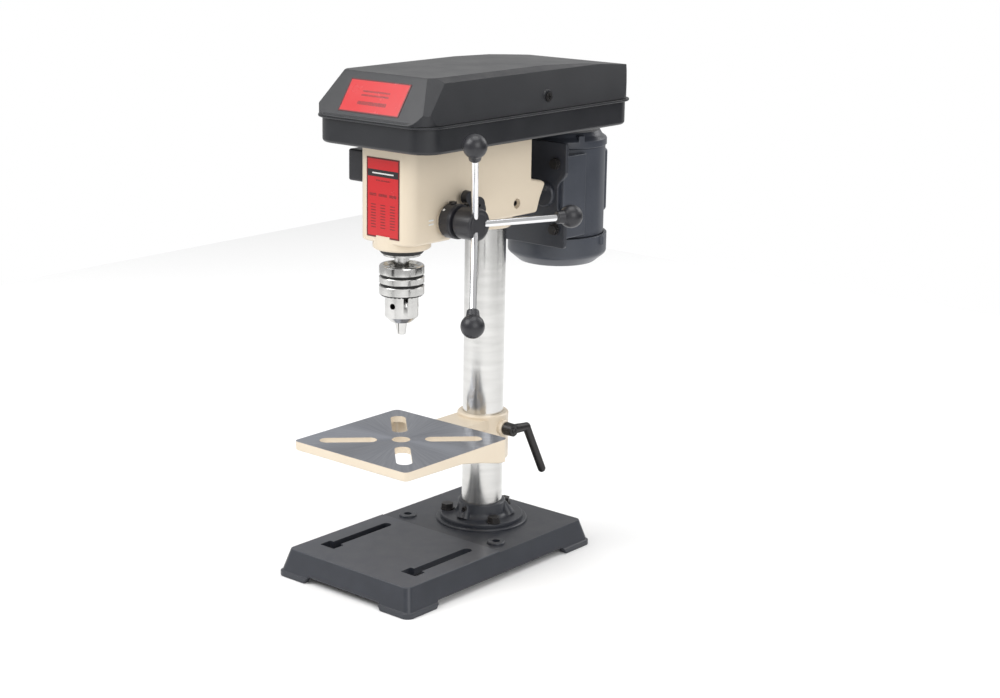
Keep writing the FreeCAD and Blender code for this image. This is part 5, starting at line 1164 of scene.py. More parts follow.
@dataclass
class Head:
    """The head casting with its bores, the index mark and the return spring's cup."""

    front: float = -113.0
    rear: float = 82.0
    half_front: float = 37.0
    half_rear: float = 42.0
    bottom: float = 374.0
    top: float = 476.0
    waist: float = 385.0
    lug_rear: float = 106.0
    bar_z: float = 409.0
    bar_x: float = 31.0
    corner: float = 13.0
    edge: float = 3.2

    def casting(self, feed: Vector, column_y: float, spindle_y: float) -> Shape:
        """The casting before its bores."""
        side = [(self.front, self.bottom), (feed.y + 6, self.bottom), (feed.y + 28, self.waist),
                (self.lug_rear - 14, self.waist), (self.lug_rear - 9, self.bar_z - 9),
                (self.lug_rear, self.bar_z + 8), (self.lug_rear - 6, self.bar_z + 11),
                (self.rear, self.bar_z + 15), (self.rear, self.top + 6),
                (self.front, self.top + 6)]
        form = Shape.prism("head_body", side, Axis.X, -50, 100)
        plan = [(-self.half_front, self.front), (self.half_front, self.front),
                (self.half_rear, self.lug_rear), (-self.half_rear, self.lug_rear)]
        form.within(Shape.prism("plan", plan, Axis.Z, self.bottom - 5, 120,
                                {0: self.corner, 1: self.corner}))
        form.rounded(self.edge, 4, 30)
        form.less(Shape.block("top_cut", (-60, self.front - 5, self.top),
                              (60, self.lug_rear + 5, self.top + 20)))
        form.plus(
            Shape.lathe("quill_boss", [(0, self.bottom - 8), (29.5, self.bottom - 8),
                                       (31, self.bottom - 6.4), (31, self.bottom + 8),
                                       (0, self.bottom + 8)], (0, spindle_y, 0), sides=80),
            Shape.lathe("column_boss", [(0, self.waist - 14), (27.5, self.waist - 14),
                                        (29.5, self.waist - 12), (29.5, self.waist + 12),
                                        (0, self.waist + 12)], (0, column_y, 0), sides=80),
            Shape.bar("tray_register", 23, (0, spindle_y, self.top - 10),
                      (0, spindle_y, self.top + 5)),
            Shape.lathe("feed_boss", [(0, 0), (17, 0), (15, self.half_front + 1.5),
                                      (15, self.half_front + 3.4), (14.4, self.half_front + 4),
                                      (0, self.half_front + 4)], feed, (1, 0, 0), 56),
            Shape.bar("spring_boss", 25, feed, (-self.half_front - 3, feed.y, feed.z)),
            Shape.bar("journal_boss", 15, feed, (-self.half_front - 4, feed.y, feed.z)))
        return form

    def bores(self, feed: Vector, column_y: float, spindle_y: float) -> list[Shape]:
        """Cutters for everything that runs in the head."""
        lock = (column_y + 4, self.bar_z - 9.5)
        tools = [
            Shape.bar("quill_bore", 20.05, (0, spindle_y, 360), (0, spindle_y, 459), sides=72),
            Shape.bar("sleeve_bore", 17.5, (0, spindle_y, 455), (0, spindle_y, 490)),
            Shape.bar("column_bore", 23.05, (0, column_y, 360), (0, column_y, 467), sides=72),
            Shape.bar("feed_bore", 10.25, (-60, feed.y, feed.z), (60, feed.y, feed.z)),
            Shape.block("core", (-22, feed.y + 18, self.waist + 8), (22, column_y - 31,
                                                                   self.top + 1)),
            Shape.lathe("lock_recess", [(0, 36), (5.5, 36), (5.5, 41.5), (8, 45), (0, 45)],
                        (0, *lock), (1, 0, 0), 40),
            Shape.bar("lock_thread", 3, (15, *lock), (45, *lock), sides=24),
            Shape.bar("tension_hole", 4.05, (30, -24.6, self.bar_z + 0.9),
                      (60, -24.6, self.bar_z + 0.9))]
        for side in (-1, 1):
            x = side * self.bar_x
            tools.append(Shape.bar("bar_bore", 5.05, (x, -44, self.bar_z),
                                   (x, self.lug_rear + 4, self.bar_z)))
            for y in (self.front + 11, self.rear - 10):
                tools.append(Shape.bar("tray_thread", 2.5, (side * 28, y, self.top - 14),
                                       (side * 28, y, self.top + 8), sides=20))
        return tools

    def build(self, paint: PaintShop) -> None:
        """Models and seats the head, its mark and the spring cup."""
        feed = Vector((0, middle("depth_ring").y, middle("spring_cup").z))
        column_y = middle("column").y
        spindle_y = middle("spindle").y
        head = self.casting(feed, column_y, spindle_y)
        head.less(*self.bores(feed, column_y, spindle_y))
        head.rounded(0.4, 2, 45).shade()
        head.paint(paint.get("cream_enamel")).fit(Body.STAND, "cream_enamel", "head_casting")
        self.mark(paint, feed)
        self.spring_cup(paint, feed)

    def mark(self, paint: PaintShop, feed: Vector) -> None:
        """Two short white bars that the depth ring is read against."""
        front = feed.y - 27.5
        x = self.half_front + (front - self.front) * 5 / (self.lug_rear - self.front)
        bars = [Shape.block("bar", (x - 0.5, front, feed.z + z - 0.9),
                            (x + 0.45, front + 7.5, feed.z + z + 0.9)) for z in (-2.1, 2.1)]
        mark = bars[0].joined(bars[1]).rounded(0.25, 2, 40).shade()
        mark.obj.name = mark.obj.data.name = "index_mark"
        mark.paint(paint.get("white_mark")).fit(Body.STAND, "label_red")

    def spring_cup(self, paint: PaintShop, feed: Vector) -> None:
        """The pressed cup over the return spring, with its setting notches."""
        low, high = extent("spring_cup")
        rim = (high.z - low.z) / 2
        depth = high.x - low.x
        cup = Shape.lathe("spring_cup_pressing", [
            (6.4, -depth), (rim - 3, -depth), (rim - 0.9, -depth + 0.9), (rim, -depth + 3), (rim, 0),
            (rim - 1.8, 0), (rim - 1.8, -depth + 1.5), (6.4, -depth + 1.5)],
            (high.x, feed.y, feed.z), (1, 0, 0), 80)
        for turn in (45, 135, 225, 315):
            y, z = around((feed.y, feed.z), rim, turn)
            cup.less(Shape.bar("notch", 2.4, (high.x - 5.5, y, z), (high.x + 1, y, z), sides=16))
        cup.rounded(0.3, 2, 45).shade()
        cup.paint(paint.get("knob_plastic")).fit(Body.STAND, "knob_plastic", "spring_cup")


@dataclass
class Feed:
    """Hub, three leaning rods with balls, the depth ring and the belt tension knob."""

    hub_radius: float = 17.0
    rod_radius: float = 3.75
    root_x: float = 77.0
    tip_x: float = 121.0
    reach: float = 106.0
    ball_radius: float = 12.5

    def build(self, paint: PaintShop) -> None:
        """Models and seats every feed piece."""
        feed = Vector((0, middle("depth_ring").y, middle("spring_cup").z))
        self.hub(paint, feed)
        self.handles(paint, feed)
        self.depth_ring(paint, feed)
        self.tension_knob(paint)

    def hub(self, paint: PaintShop, feed: Vector) -> None:
        """The turned hub with a capped outer face."""
        low, high = extent("handle_hub")
        rim = self.hub_radius
        wide = high.x - low.x
        hub = Shape.lathe("feed_hub", [
            (8, 0), (rim - 2.2, 0), (rim - 1.6, 2.4), (rim - 0.5, 3.0), (rim, 4.2),
            (rim, wide - 2.2), (rim - 0.6, wide - 0.8), (rim - 1.8, wide - 0.1),
            (rim - 4.2, wide), (rim - 4.6, wide - 0.5), (rim - 5.0, wide - 0.5),
            (rim - 5.4, wide), (0, wide), (0, wide - 4), (8, wide - 4)],
            (low.x, feed.y, feed.z), (1, 0, 0), 96)
        hub.rounded(0.3, 2, 40).shade()
        hub.paint(paint.get("knob_plastic")).fit(Body.FEED, "knob_plastic", "handle_hub")

    def handles(self, paint: PaintShop, feed: Vector) -> None:
        """One rod and ball, then two turned copies of each."""
        root = Vector((self.root_x, feed.y, feed.z))
        tip = Vector((self.tip_x, feed.y + self.reach, feed.z))
        start = root + (tip - root) * (10 / self.reach)
        along = (tip - start).normalized()
        length = (tip - start).length
        rod = Shape.lathe("feed_rods", [(0, 0), (self.rod_radius, 0),
                                        (self.rod_radius, length - self.ball_radius + 3),
                                        (0, length - self.ball_radius + 3)],
                          start, along, 32).shade()
        r = self.ball_radius
        neck = length - r - 5
        knob = Shape.lathe("feed_balls", [
            (self.rod_radius + 0.05, neck), (5.8, neck), (6.4, neck + 0.7), (6.7, neck + 3.4),
            *[(r * math.sin(math.radians(a)), length - r * math.cos(math.radians(a)))
              for a in range(36, 181, 9)],
            (0, length - r + 3.2), (self.rod_radius + 0.05, length - r + 3.2)],
            start, along, 48).shade()
        rods = rod.joined(*[rod.copied("rod", turn, feed, (1, 0, 0)) for turn in (120, 240)])
        balls = knob.joined(*[knob.copied("ball", turn, feed, (1, 0, 0)) for turn in (120, 240)])
        rods.paint(paint.get("bright_chrome")).fit(Body.FEED, "bright_chrome", "handle_rods")
        balls.paint(paint.get("knob_plastic")).fit(Body.FEED, "knob_plastic", "handle_balls")

    def depth_ring(self, paint: PaintShop, feed: Vector) -> None:
        """The graduated ring with its flat, screw hole and scale lines."""
        low, high = extent("depth_ring")
        rim = (high.y - low.y) / 2
        wide = high.x - low.x
        ring = Shape.lathe("depth_ring_body", [
            (8.05, 0), (rim - 2.4, 0), (rim - 0.4, 1.2), (rim, 2.2), (rim, wide - 3.4),
            (rim - 0.7, wide - 2.9), (rim - 0.7, wide - 2.1), (rim, wide - 1.6),
            (rim - 0.3, wide - 0.3), (rim - 0.8, wide), (8.05, wide)],
            (low.x, feed.y, feed.z), (1, 0, 0), 96)
        screw_x = low.x + wide / 3
        ring.less(Shape.block("flat", (screw_x - 4.5, feed.y - 5, feed.z + rim - 2),
                              (screw_x + 4.5, feed.y + 5, feed.z + rim + 5)),
                  Shape.bar("screw_bore", 2.5, (screw_x, feed.y, feed.z + 7),
                            (screw_x, feed.y, feed.z + rim + 5), sides=24))
        ticks = []
        for number in range(24):
            turn = 100 + number * 14
            y, z = around((feed.y, feed.z), rim, turn)
            ticks.append(Shape.bar("tick", 0.35, (low.x + 1.2, y, z),
                                   (low.x + (4.5 if number % 4 else 6.5), y, z), sides=6))
        ring.less(ticks[0].joined(*ticks[1:]))
        ring.rounded(0.25, 2, 45).shade()
        ring.paint(paint.get("knob_plastic")).fit(Body.DEPTH_STOP, "knob_plastic", "depth_ring")
        y, z = around((feed.y, feed.z), rim - 0.2, 135)
        out = Vector((0, y - feed.y, z - feed.z)).normalized()
        spot = Vector((low.x + 4.5, y, z))
        dot = Shape.lathe("depth_zero_dot", [(0, -0.3), (1.5, -0.3), (1.5, 0.35), (1.2, 0.55),
                                             (0, 0.6)], spot, out, 24).shade()
        dot.paint(paint.get("white_mark")).fit(Body.DEPTH_STOP, "label_red")

    def tension_knob(self, paint: PaintShop) -> None:
        """The winged knob that locks the motor slide."""
        y, z = -24.6, 409.9
        knob = Shape.bar("tension_knob_casting", 10, (44.6, y, z), (56.4, y, z), 9.4, 40)
        parts = [Shape.bar("collar", 7, (40.4, y, z), (46, y, z), sides=32)]
        for turn, reach, radius in ((140, 15, 7.4), (140, 8, 8.2), (-40, 9, 8.0)):
            wy, wz = around((y, z), reach, turn)
            parts.append(Shape.bar("wing", radius, (45.6, wy, wz), (53.6, wy, wz), radius - 0.6, 32))
        knob.joined(*parts).melted(0.5, 5)
        knob.less(Shape.bar("recess", 2, (54, y, z), (59, y, z), sides=24)).shade(50)
        stem = Shape.lathe("stem", [(0, 36.4), (3.6, 36.4), (4, 37), (4, 43), (0, 43)],
                           (0, y, z), (1, 0, 0), 32).shade()
        knob.joined(stem).paint(paint.get("knob_plastic"))
        knob.fit(Body.TENSION, "knob_plastic", "belt_tension_knob")


@dataclass
class Chuck:
    """The key chuck's body and toothed sleeve."""

    teeth: int = 30
    groove_depth: float = 1.2

    def build(self, paint: PaintShop) -> None:
        """Models and seats sleeve and body."""
        y = middle("spindle").y
        low, high = extent("chuck_sleeve")
        rim = (high.x - low.x) / 2
        inner = 18.04
        z = low.z
        grooved = rim - self.groove_depth
        sleeve = Shape.lathe("chuck_sleeve_turning", [
            (inner, z), (rim - 2, z), (rim, z + 2), (rim, z + 10.2), (rim - 0.4, z + 10.7),
            (grooved, z + 11), (grooved, z + 13.4), (rim - 0.4, z + 13.7), (rim, z + 14.2),
            (rim, z + 19.8), (rim - 0.4, z + 20.3), (grooved, z + 20.6), (grooved, z + 23),
            (rim - 0.4, z + 23.3), (rim, z + 23.8), (rim, high.z - 2.2), (rim - 0.6, high.z - 0.8),
            (rim - 1.8, high.z), (rim - 4, high.z), (inner, high.z - 3)], (0, y, 0), sides=120)
        notch = Shape.bar("notch", 0.9, (inner - 1, y, z), (rim + 1, y, z), 1.35, 6)
        notches = notch.joined(*[notch.copied("notch", 360 / self.teeth * n, (0, y, z))
                                 for n in range(1, self.teeth)])
        sleeve.less(notches).shade(30)
        sleeve.paint(paint.get("ground_steel"))
        # Painted shade: the sleeve's grooves and its toothed underside are painted near black.
        sleeve.paint(paint.get("groove"), lambda at, way: z + 10.8 < at.z < z + 23.2
                     and math.hypot(at.x, at.y - y) < grooved + 0.3)
        sleeve.paint(paint.get("groove"), lambda at, way: at.z < z + 1.25
                     and math.hypot(at.x, at.y - y) > inner + 0.3)
        sleeve.fit(Body.CHUCK_SLEEVE, "ground_steel", "chuck_sleeve")
        self.body(paint, y, z)

    def body(self, paint: PaintShop, y: float, sleeve_low: float) -> None:
        """The turned body with its key holes and jaw bores."""
        low, high = extent("chuck_body")
        rim = (high.x - low.x) / 2
        body = Shape.lathe("chuck_core", [
            (0, low.z), (rim - 6.6, low.z), (rim - 5.6, low.z + 0.5), (rim - 0.5, low.z + 5.6),
            (rim, low.z + 6.8), (rim, high.z), (13, high.z), (13, high.z - 2.5),
            (0, high.z - 2.5)], (0, y, 0), sides=96)
        for number in range(3):
            turn = number * 120 + 40
            inner = around((0, y), rim - 9, turn)
            outer = around((0, y), rim + 3, turn)
            body.less(Shape.bar("key_hole", 3.2, (*inner, sleeve_low - 10),
                                (*outer, sleeve_low - 10), sides=32))
            jaw = Vector((math.cos(math.radians(number * 120 + 90)),
                          math.sin(math.radians(number * 120 + 90)), 0))
            foot = Vector((0, y, 272)) + jaw * 0.3
            along = Vector((0, 0, 1)) + jaw * math.tan(math.radians(13))
            body.less(Shape.bar("jaw_bore", 4.15, foot, foot + along * 66, sides=28))
        body.less(Shape.bar("taper", 7.4, (0, y, high.z - 20), (0, y, high.z + 3), 8.2, 40))
        body.rounded(0.3, 2, 45).shade()
        body.paint(paint.get("ground_steel"))
        # Painted shade: the faces inside the key holes and jaw bores are painted near black.
        body.paint(paint.get("groove"), lambda at, way: math.hypot(at.x, at.y - y) < rim - 0.8
                   and low.z + 8 < at.z < sleeve_low - 4)
        body.fit(Body.SPINDLE, "ground_steel", "chuck_body")


@dataclass
class BeltHousing:
    """The moulded belt tray and its hinged lid."""

    half: float = 80.0
    front: float = -136.0
    rear: float = 214.0
    corner: float = 25.0
    rim: float = 4.5
    wall: float = 3.0
    floor: float = 476.0
    tray_top: float = 505.0
    lid_low: float = 505.4
    lid_top: float = 551.0
    lid_rear_top: float = 542.0
    slope: float = 28.0
    lean: float = 10.0
    lid_wall: float = 2.5
    screw_y: float = 62.0

    def outline(self, name: str, proud: float, start: float, height: float) -> Shape:
        """A slab of the housing's plan, grown by proud."""
        corners = rectangle((-self.half - proud, self.front - proud),
                            (self.half + proud, self.rear + proud))
        return Shape.prism(name, corners, Axis.Z, start, height,
                           {number: self.corner + proud for number in range(4)})

    def tray(self, paint: PaintShop, spindle_y: float, motor_y: float) -> None:
        """The tray with its floor openings, lid post and hinge knuckles."""
        tray = self.outline("belt_tray_moulding", 0, self.floor, self.tray_top - self.floor)
        tray.bevel(Part.EDGE, lambda at, way: at.z < self.floor + 0.01, 3.5, 4)
        tray.plus(self.outline("rim", self.rim, self.tray_top - 2.5, 2.5)
                  .bevel(Part.EDGE, lambda at, way: at.z < self.tray_top - 2.4 and abs(way.z) < 0.1,
                         1.2, 3))
        tray.less(self.outline("inside", -self.wall, self.floor + self.wall, 40))
        ledge = Shape.block("ledge", (self.half - 15, self.screw_y - 9, self.floor + 10),
                            (self.half - self.wall + 0.5, self.screw_y + 9, self.tray_top - 3))
        post = Shape.block("post", (self.half - 15, self.screw_y - 9, self.tray_top - 4),
                           (self.half - 10, self.screw_y + 9, self.tray_top + 18))
        fork = Shape.block("fork", (self.half - 20, self.screw_y - 2.8, self.tray_top + 11.3),
                           (self.half + 5, self.screw_y + 2.8, self.tray_top + 30))
        tray.plus(ledge, post.less(fork))
        slide = rectangle((-20, motor_y - 30), (20, motor_y + 20))
        tray.less(Shape.bar("spindle_hole", 23.3, (0, spindle_y, self.floor - 1),
                            (0, spindle_y, self.floor + 6), sides=64),
                  Shape.prism("motor_slot", slide, Axis.Z, self.floor - 1, 6,
                              {number: 19.8 for number in range(4)}))
        for side in (-1, 1):
            for y in (-102.0, 72.0):
                tray.less(Shape.bar("screw_hole", 2.7, (side * 28, y, self.floor - 1),
                                    (side * 28, y, self.floor + 5), sides=20))
        axis_x, z = -self.half - self.rim - 4, self.tray_top + 0.2
        for y in (self.front + 60, self.rear - 60):
            for near in (y - 20, y + 7):
                tray.plus(Shape.block("leaf", (axis_x, near, self.tray_top - 2.5),
                                      (1 - self.half, near + 13, self.tray_top - 0.2)),
                          Shape.bar("knuckle", 3.6, (axis_x, near, z), (axis_x, near + 13, z),
                                    sides=28))
            tray.less(Shape.bar("pin_bore", 1.5, (axis_x, y - 25, z), (axis_x, y + 25, z),
                                sides=20))
        tray.rounded(0.4, 2, 45).shade()
        tray.paint(paint.get("cover_plastic")).fit(Body.STAND, "cover_plastic", "belt_tray")

    def lid_form(self, name: str, inset: float, low: float) -> Shape:
        """The lid's outer form, or its inside when inset by the wall."""
        front = self.front + inset - 5
        rear = self.rear - inset + 2
        top = self.lid_top - inset
        half = self.half - inset
        side = [(front, low), (rear, low), (rear - 4.5, self.lid_rear_top - inset),
                (rear - 5 - self.rear * 0.36, top - 2.6), (rear - 5 - self.rear * 0.66, top),
                (front + self.slope + 3, top), (front + self.slope, top - 4)]
        form = Shape.prism(name, side, Axis.X, -half - 5, half * 2 + 10)
        section = [(-half, low), (half, low), (half - self.lean, self.lid_top - 5 - inset),
                   (half - self.lean - 7, top), (self.lean + 7 - half, top),
                   (self.lean - half, self.lid_top - 5 - inset)]
        form.within(Shape.prism("section", section, Axis.Y, front - 10, rear - front + 20))
        form.within(Shape.prism("plan", rectangle((-half, front), (half, rear)), Axis.Z, low - 5,
                                70, {n: self.corner - inset for n in range(4)}))
        for side in (-1, 1):
            foot = Vector((side * (half - 4), front + 2, self.lid_low + 4))
            top_front = Vector((side * (half - self.lean - 12), front + self.slope + 1, top - 1.5))
            top_side = Vector((side * (half - self.lean - 1.5), front + self.slope + 12, top - 6))
            normal = (top_front - foot).cross(top_side - foot).normalized()
            if normal.x * side < 0:
                normal.negate()
            form.slice(foot, normal)
        return form

    def lid(self, paint: PaintShop) -> None:
        """The lid with its front facets, rim, hinge leaves and screw seat."""
        low = self.lid_low
        lid = self.lid_form("belt_lid_moulding", 0, low)
        lid.rounded(2.6, 4, 16)
        lid.less(self.lid_form("inside", self.lid_wall, low - 3))
        lid.plus(self.outline("lid_step", 1.6, low, 4.6)
                 .bevel(Part.EDGE, lambda at, way: at.z > low + 4.5 and abs(way.z) < 0.1, 1.2, 3)
                 .less(self.outline("step_inside", -self.wall, low - 1, 8)))
        lid.plus(self.outline("lid_rim", self.rim, low, 3)
                 .bevel(Part.EDGE, lambda at, way: at.z > low + 2.9 and abs(way.z) < 0.1, 1.3, 3)
                 .less(self.outline("rim_inside", -self.wall, low - 1, 8)))
        screw = Vector((0, self.screw_y, self.tray_top + 14))
        seat_x = extent("lid_screw")[1].x - 3
        lid.plus(Shape.lathe("screw_boss", [(0, seat_x - 3), (8.5, seat_x - 3),
                                            (7.4, seat_x + 1.6), (0, seat_x + 1.6)],
                             screw, (1, 0, 0), 40))
        lid.less(Shape.bar("screw_hole", 2.8, screw + Vector((50, 0, 0)), screw + Vector((90, 0, 0)),
                           sides=28),
                 Shape.bar("screw_seat", 5.1, screw + Vector((seat_x, 0, 0)),
                           screw + Vector((seat_x + 10, 0, 0)), sides=36))
        axis_x, z = -self.half - self.rim - 4, self.tray_top + 0.2
        for y in (self.front + 60, self.rear - 60):
            lid.plus(Shape.block("leaf", (axis_x, y - 6.5, z + 0.2), (1 - self.half, y + 6.5,
                                                                    z + 2.6)),
                     Shape.bar("knuckle", 3.6, (axis_x, y - 6.5, z), (axis_x, y + 6.5, z),
                               sides=28))
            lid.less(Shape.bar("pin_bore", 1.55, (axis_x, y - 10, z), (axis_x, y + 10, z),
                               sides=20))
            for near in (y - 20.4, y + 6.5):
                lid.less(Shape.block("clearance", (axis_x - 4.5, near, self.tray_top - 6),
                                     (0.5 - self.half - self.rim, near + 13.9,
                                      self.tray_top + 5)))
        lid.rounded(0.4, 2, 50).shade()
        lid.paint(paint.get("cover_plastic")).fit(Body.LID, "cover_plastic", "belt_lid")

    def belt(self, paint: PaintShop, spindle_y: float, motor_y: float) -> None:
        """The V-belt, copied from the frame's belt."""
        belt = Shape(frame["nodes"]["drive_belt"]).copied("v_belt")
        belt.obj.parent = None
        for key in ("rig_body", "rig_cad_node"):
            if key in belt.obj:
                del belt.obj[key]
        with belt.editing(Part.VERT):
            bpy.ops.mesh.select_all(action="SELECT")
            bpy.ops.mesh.remove_doubles(threshold=0.00002)
            bpy.ops.mesh.normals_make_consistent(inside=False)
        belt.shade(30).paint(paint.get("belt_rubber"))
        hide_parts("drive_belt")
        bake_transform(belt.obj)
        LOG.info("v_belt blends from the stand to the motor")

    def build(self, paint: PaintShop) -> None:
        """Models and seats tray and lid, and copies in the belt."""
        spindle_y = middle("spindle").y
        motor_y = middle("rotor_shaft").y
        self.tray(paint, spindle_y, motor_y)
        self.lid(paint)
        self.belt(paint, spindle_y, motor_y)


@dataclass
class Motor:
    """The motor's frame, bells, capacitor box and mounting plate."""

    radius: float = 53.0
    bell: float = 57.0
    bottom: float = 313.0
    frame_low: float = 347.0
    frame_high: float = 449.0
    top: float = 466.0
    plate_front: float = 118.0
    bar_z: float = 409.0

    def build(self, paint: PaintShop) -> None:
        """Models and seats every motor casing."""
        y = middle("rotor_shaft").y
        self.lower_bell(paint, y)
        self.casing(paint, y)
        self.upper_bell(paint, y)
        self.capacitor(paint, y)
        self.plate(paint)

    def lower_bell(self, paint: PaintShop, y: float) -> None:
        """The dished fan end."""
        b, z = self.bell, self.bottom
        bell = Shape.lathe("motor_fan_bell", [
            (9, z), (b - 15, z), (b - 13, z + 0.6), (b - 2.2, z + 9.4), (b - 0.6, z + 11.4),
            (b, z + 13.6), (b, self.frame_low - 2), (b + 0.0, self.frame_low - 0.4),
            (b - 0.4, self.frame_low), (b - 3.5, self.frame_low), (b - 3.5, z + 14),
            (b - 14, z + 4.4), (18, z + 4), (18, z + 15), (13, z + 15), (13, z + 4), (9, z + 4)],
            (0, y, 0), sides=112)
        vent = Shape.block("vent", (17, y - 1.6, z - 1), (36, y + 1.6, z + 6)).rounded(1.0, 2)
        vents = vent.joined(*[vent.copied("vent", 30 * n, (0, y, 0)) for n in range(1, 12)])
        bell.less(vents)
        bell.plus(Shape.lathe("rim_lug", [(0, -9), (3.4, -9), (3.4, 0), (2.6, 0.8), (0, 0.8)],
                              (self.bell * math.cos(0.16), y + self.bell * math.sin(0.16),
                               self.frame_low - 1), (0, 0, 1), 24))
        bell.rounded(0.35, 2, 45).shade()
        bell.paint(paint.get("motor_enamel")).fit(Body.MOTOR, "motor_enamel", "motor_lower_bell")

    def casing(self, paint: PaintShop, y: float) -> None:
        """The frame tube with its feet towards the plate."""
        low, high, r = self.frame_low, self.frame_high, self.radius
        tube = Shape.lathe("motor_casing", [
            (r - 3, low), (r - 0.8, low), (r, low + 0.8), (r, high - 0.8), (r - 0.8, high),
            (r - 3, high)], (0, y, 0), sides=112)
        front = self.plate_front + 5
        for inner in (38, -54):
            foot = Shape.block("foot", (inner, front, low + 4), (inner + 16, y - 18, high - 4))
            foot.rounded(2.0, 3).less(Shape.bar("inside", r - 3, (0, y, low - 1),
                                                (0, y, high + 1), sides=96))
            tube.plus(foot)
        for x in (-46, 46):
            for z in (363, 437):
                tube.less(Shape.bar("bolt_hole", 3, (x, front - 1, z), (x, front + 10, z),
                                    sides=24))
        tube.rounded(0.35, 2, 50).shade()
        tube.paint(paint.get("motor_enamel")).fit(Body.MOTOR, "motor_enamel", "motor_frame")

    def upper_bell(self, paint: PaintShop, y: float) -> None:
        """The stepped drive end with its tab."""
        r, high, top = self.radius, self.frame_high, self.top
        bell = Shape.lathe("motor_drive_bell", [
            (17, high + 2), (r - 5, high + 2), (r - 5, high), (r + 1, high), (r + 1.5, high + 0.6),
            (r + 1.5, high + 7), (r + 0.6, high + 8.6), (r - 3.4, high + 11.4), (r - 4.6, high + 13),
            (r - 6.8, top), (9, top), (9, top - 3), (17, top - 3)], (0, y, 0), sides=112)
        tab = Shape.block("tab", (r - 16, y - 4, high + 6), (r + 1, y + 4, high + 15))
        turned = tab.rounded(1.2, 3).copied("tab_turned", -24, (0, y, 0))
        tab.hold()
        bpy.ops.object.delete()
        bell.plus(turned)
        bell.rounded(0.35, 2, 50).shade()
        bell.paint(paint.get("motor_enamel")).fit(Body.MOTOR, "motor_enamel", "motor_upper_bell")

    def capacitor(self, paint: PaintShop, y: float) -> None:
        """The capacitor box on the motor's back."""
        low, high = extent("capacitor_box")
        corners = rectangle((low.x, low.z), (high.x, high.z))
        case = Shape.prism("capacitor_case", corners, Axis.Y, low.y - 8, high.y - low.y + 8,
                           {number: 5.0 for number in range(4)})
        case.bevel(Part.EDGE, lambda at, way: at.y > high.y - 0.01, 3.5, 4)
        case.less(Shape.bar("motor_side", self.radius, (0, y, low.z - 5), (0, y, high.z + 5),
                            sides=112))
        for z in (low.z + 7, high.z - 7):
            case.less(Shape.lathe("screw_seat", [(0, 0), (3, 0), (3, 4), (0, 4)],
                                  (0, high.y - 1.2, z), (0, 1, 0), 24))
            case.plus(Shape.lathe("screw", [(0, -2), (2.6, -2), (2.6, 0.4), (2.2, 0.9), (0, 1.1)],
                                  (0, high.y - 1.2, z), (0, 1, 0), 24))
        case.rounded(0.3, 2, 50).shade()
        case.paint(paint.get("motor_enamel")).fit(Body.MOTOR, "motor_enamel", "capacitor_box")

    def plate(self, paint: PaintShop) -> None:
        """The waisted plate with its two slide bar bosses."""
        low, high = extent("motor_plate")
        half = high.x
        notch = self.bar_z + 4
        outline = [(-half, low.z), (half, low.z), (half, self.bar_z - 32),
                   (half - 11, self.bar_z - 24), (half - 11, notch), (half, notch + 12),
                   (half, high.z), (-half, high.z), (-half, notch + 12), (11 - half, notch),
                   (11 - half, self.bar_z - 24), (-half, self.bar_z - 32)]
        plate = Shape.prism("motor_slide_plate", outline, Axis.Y, self.plate_front, 5,
                            {number: 3.5 for number in range(12)})
        plate.rounded(1.2, 3, 40)
        for side in (-1, 1):
            x = side * 31
            plate.plus(Shape.lathe("boss", [(0, -4), (12.4, -4), (14, -2.4), (14, 2), (0, 2)],
                                   (x, self.plate_front, self.bar_z - 8), (0, 1, 0), 48))
            plate.less(Shape.bar("bar_hole", 5, (x, 100, self.bar_z), (x, 130, self.bar_z)))
            for z in (363, 437):
                plate.less(Shape.bar("bolt_hole", 3.2, (side * 46, 110, z), (side * 46, 130, z),
                                     sides=24))
        plate.rounded(0.3, 2, 50).shade()
        plate.paint(paint.get("cast_black")).fit(Body.MOTOR, "cast_black", "motor_plate")


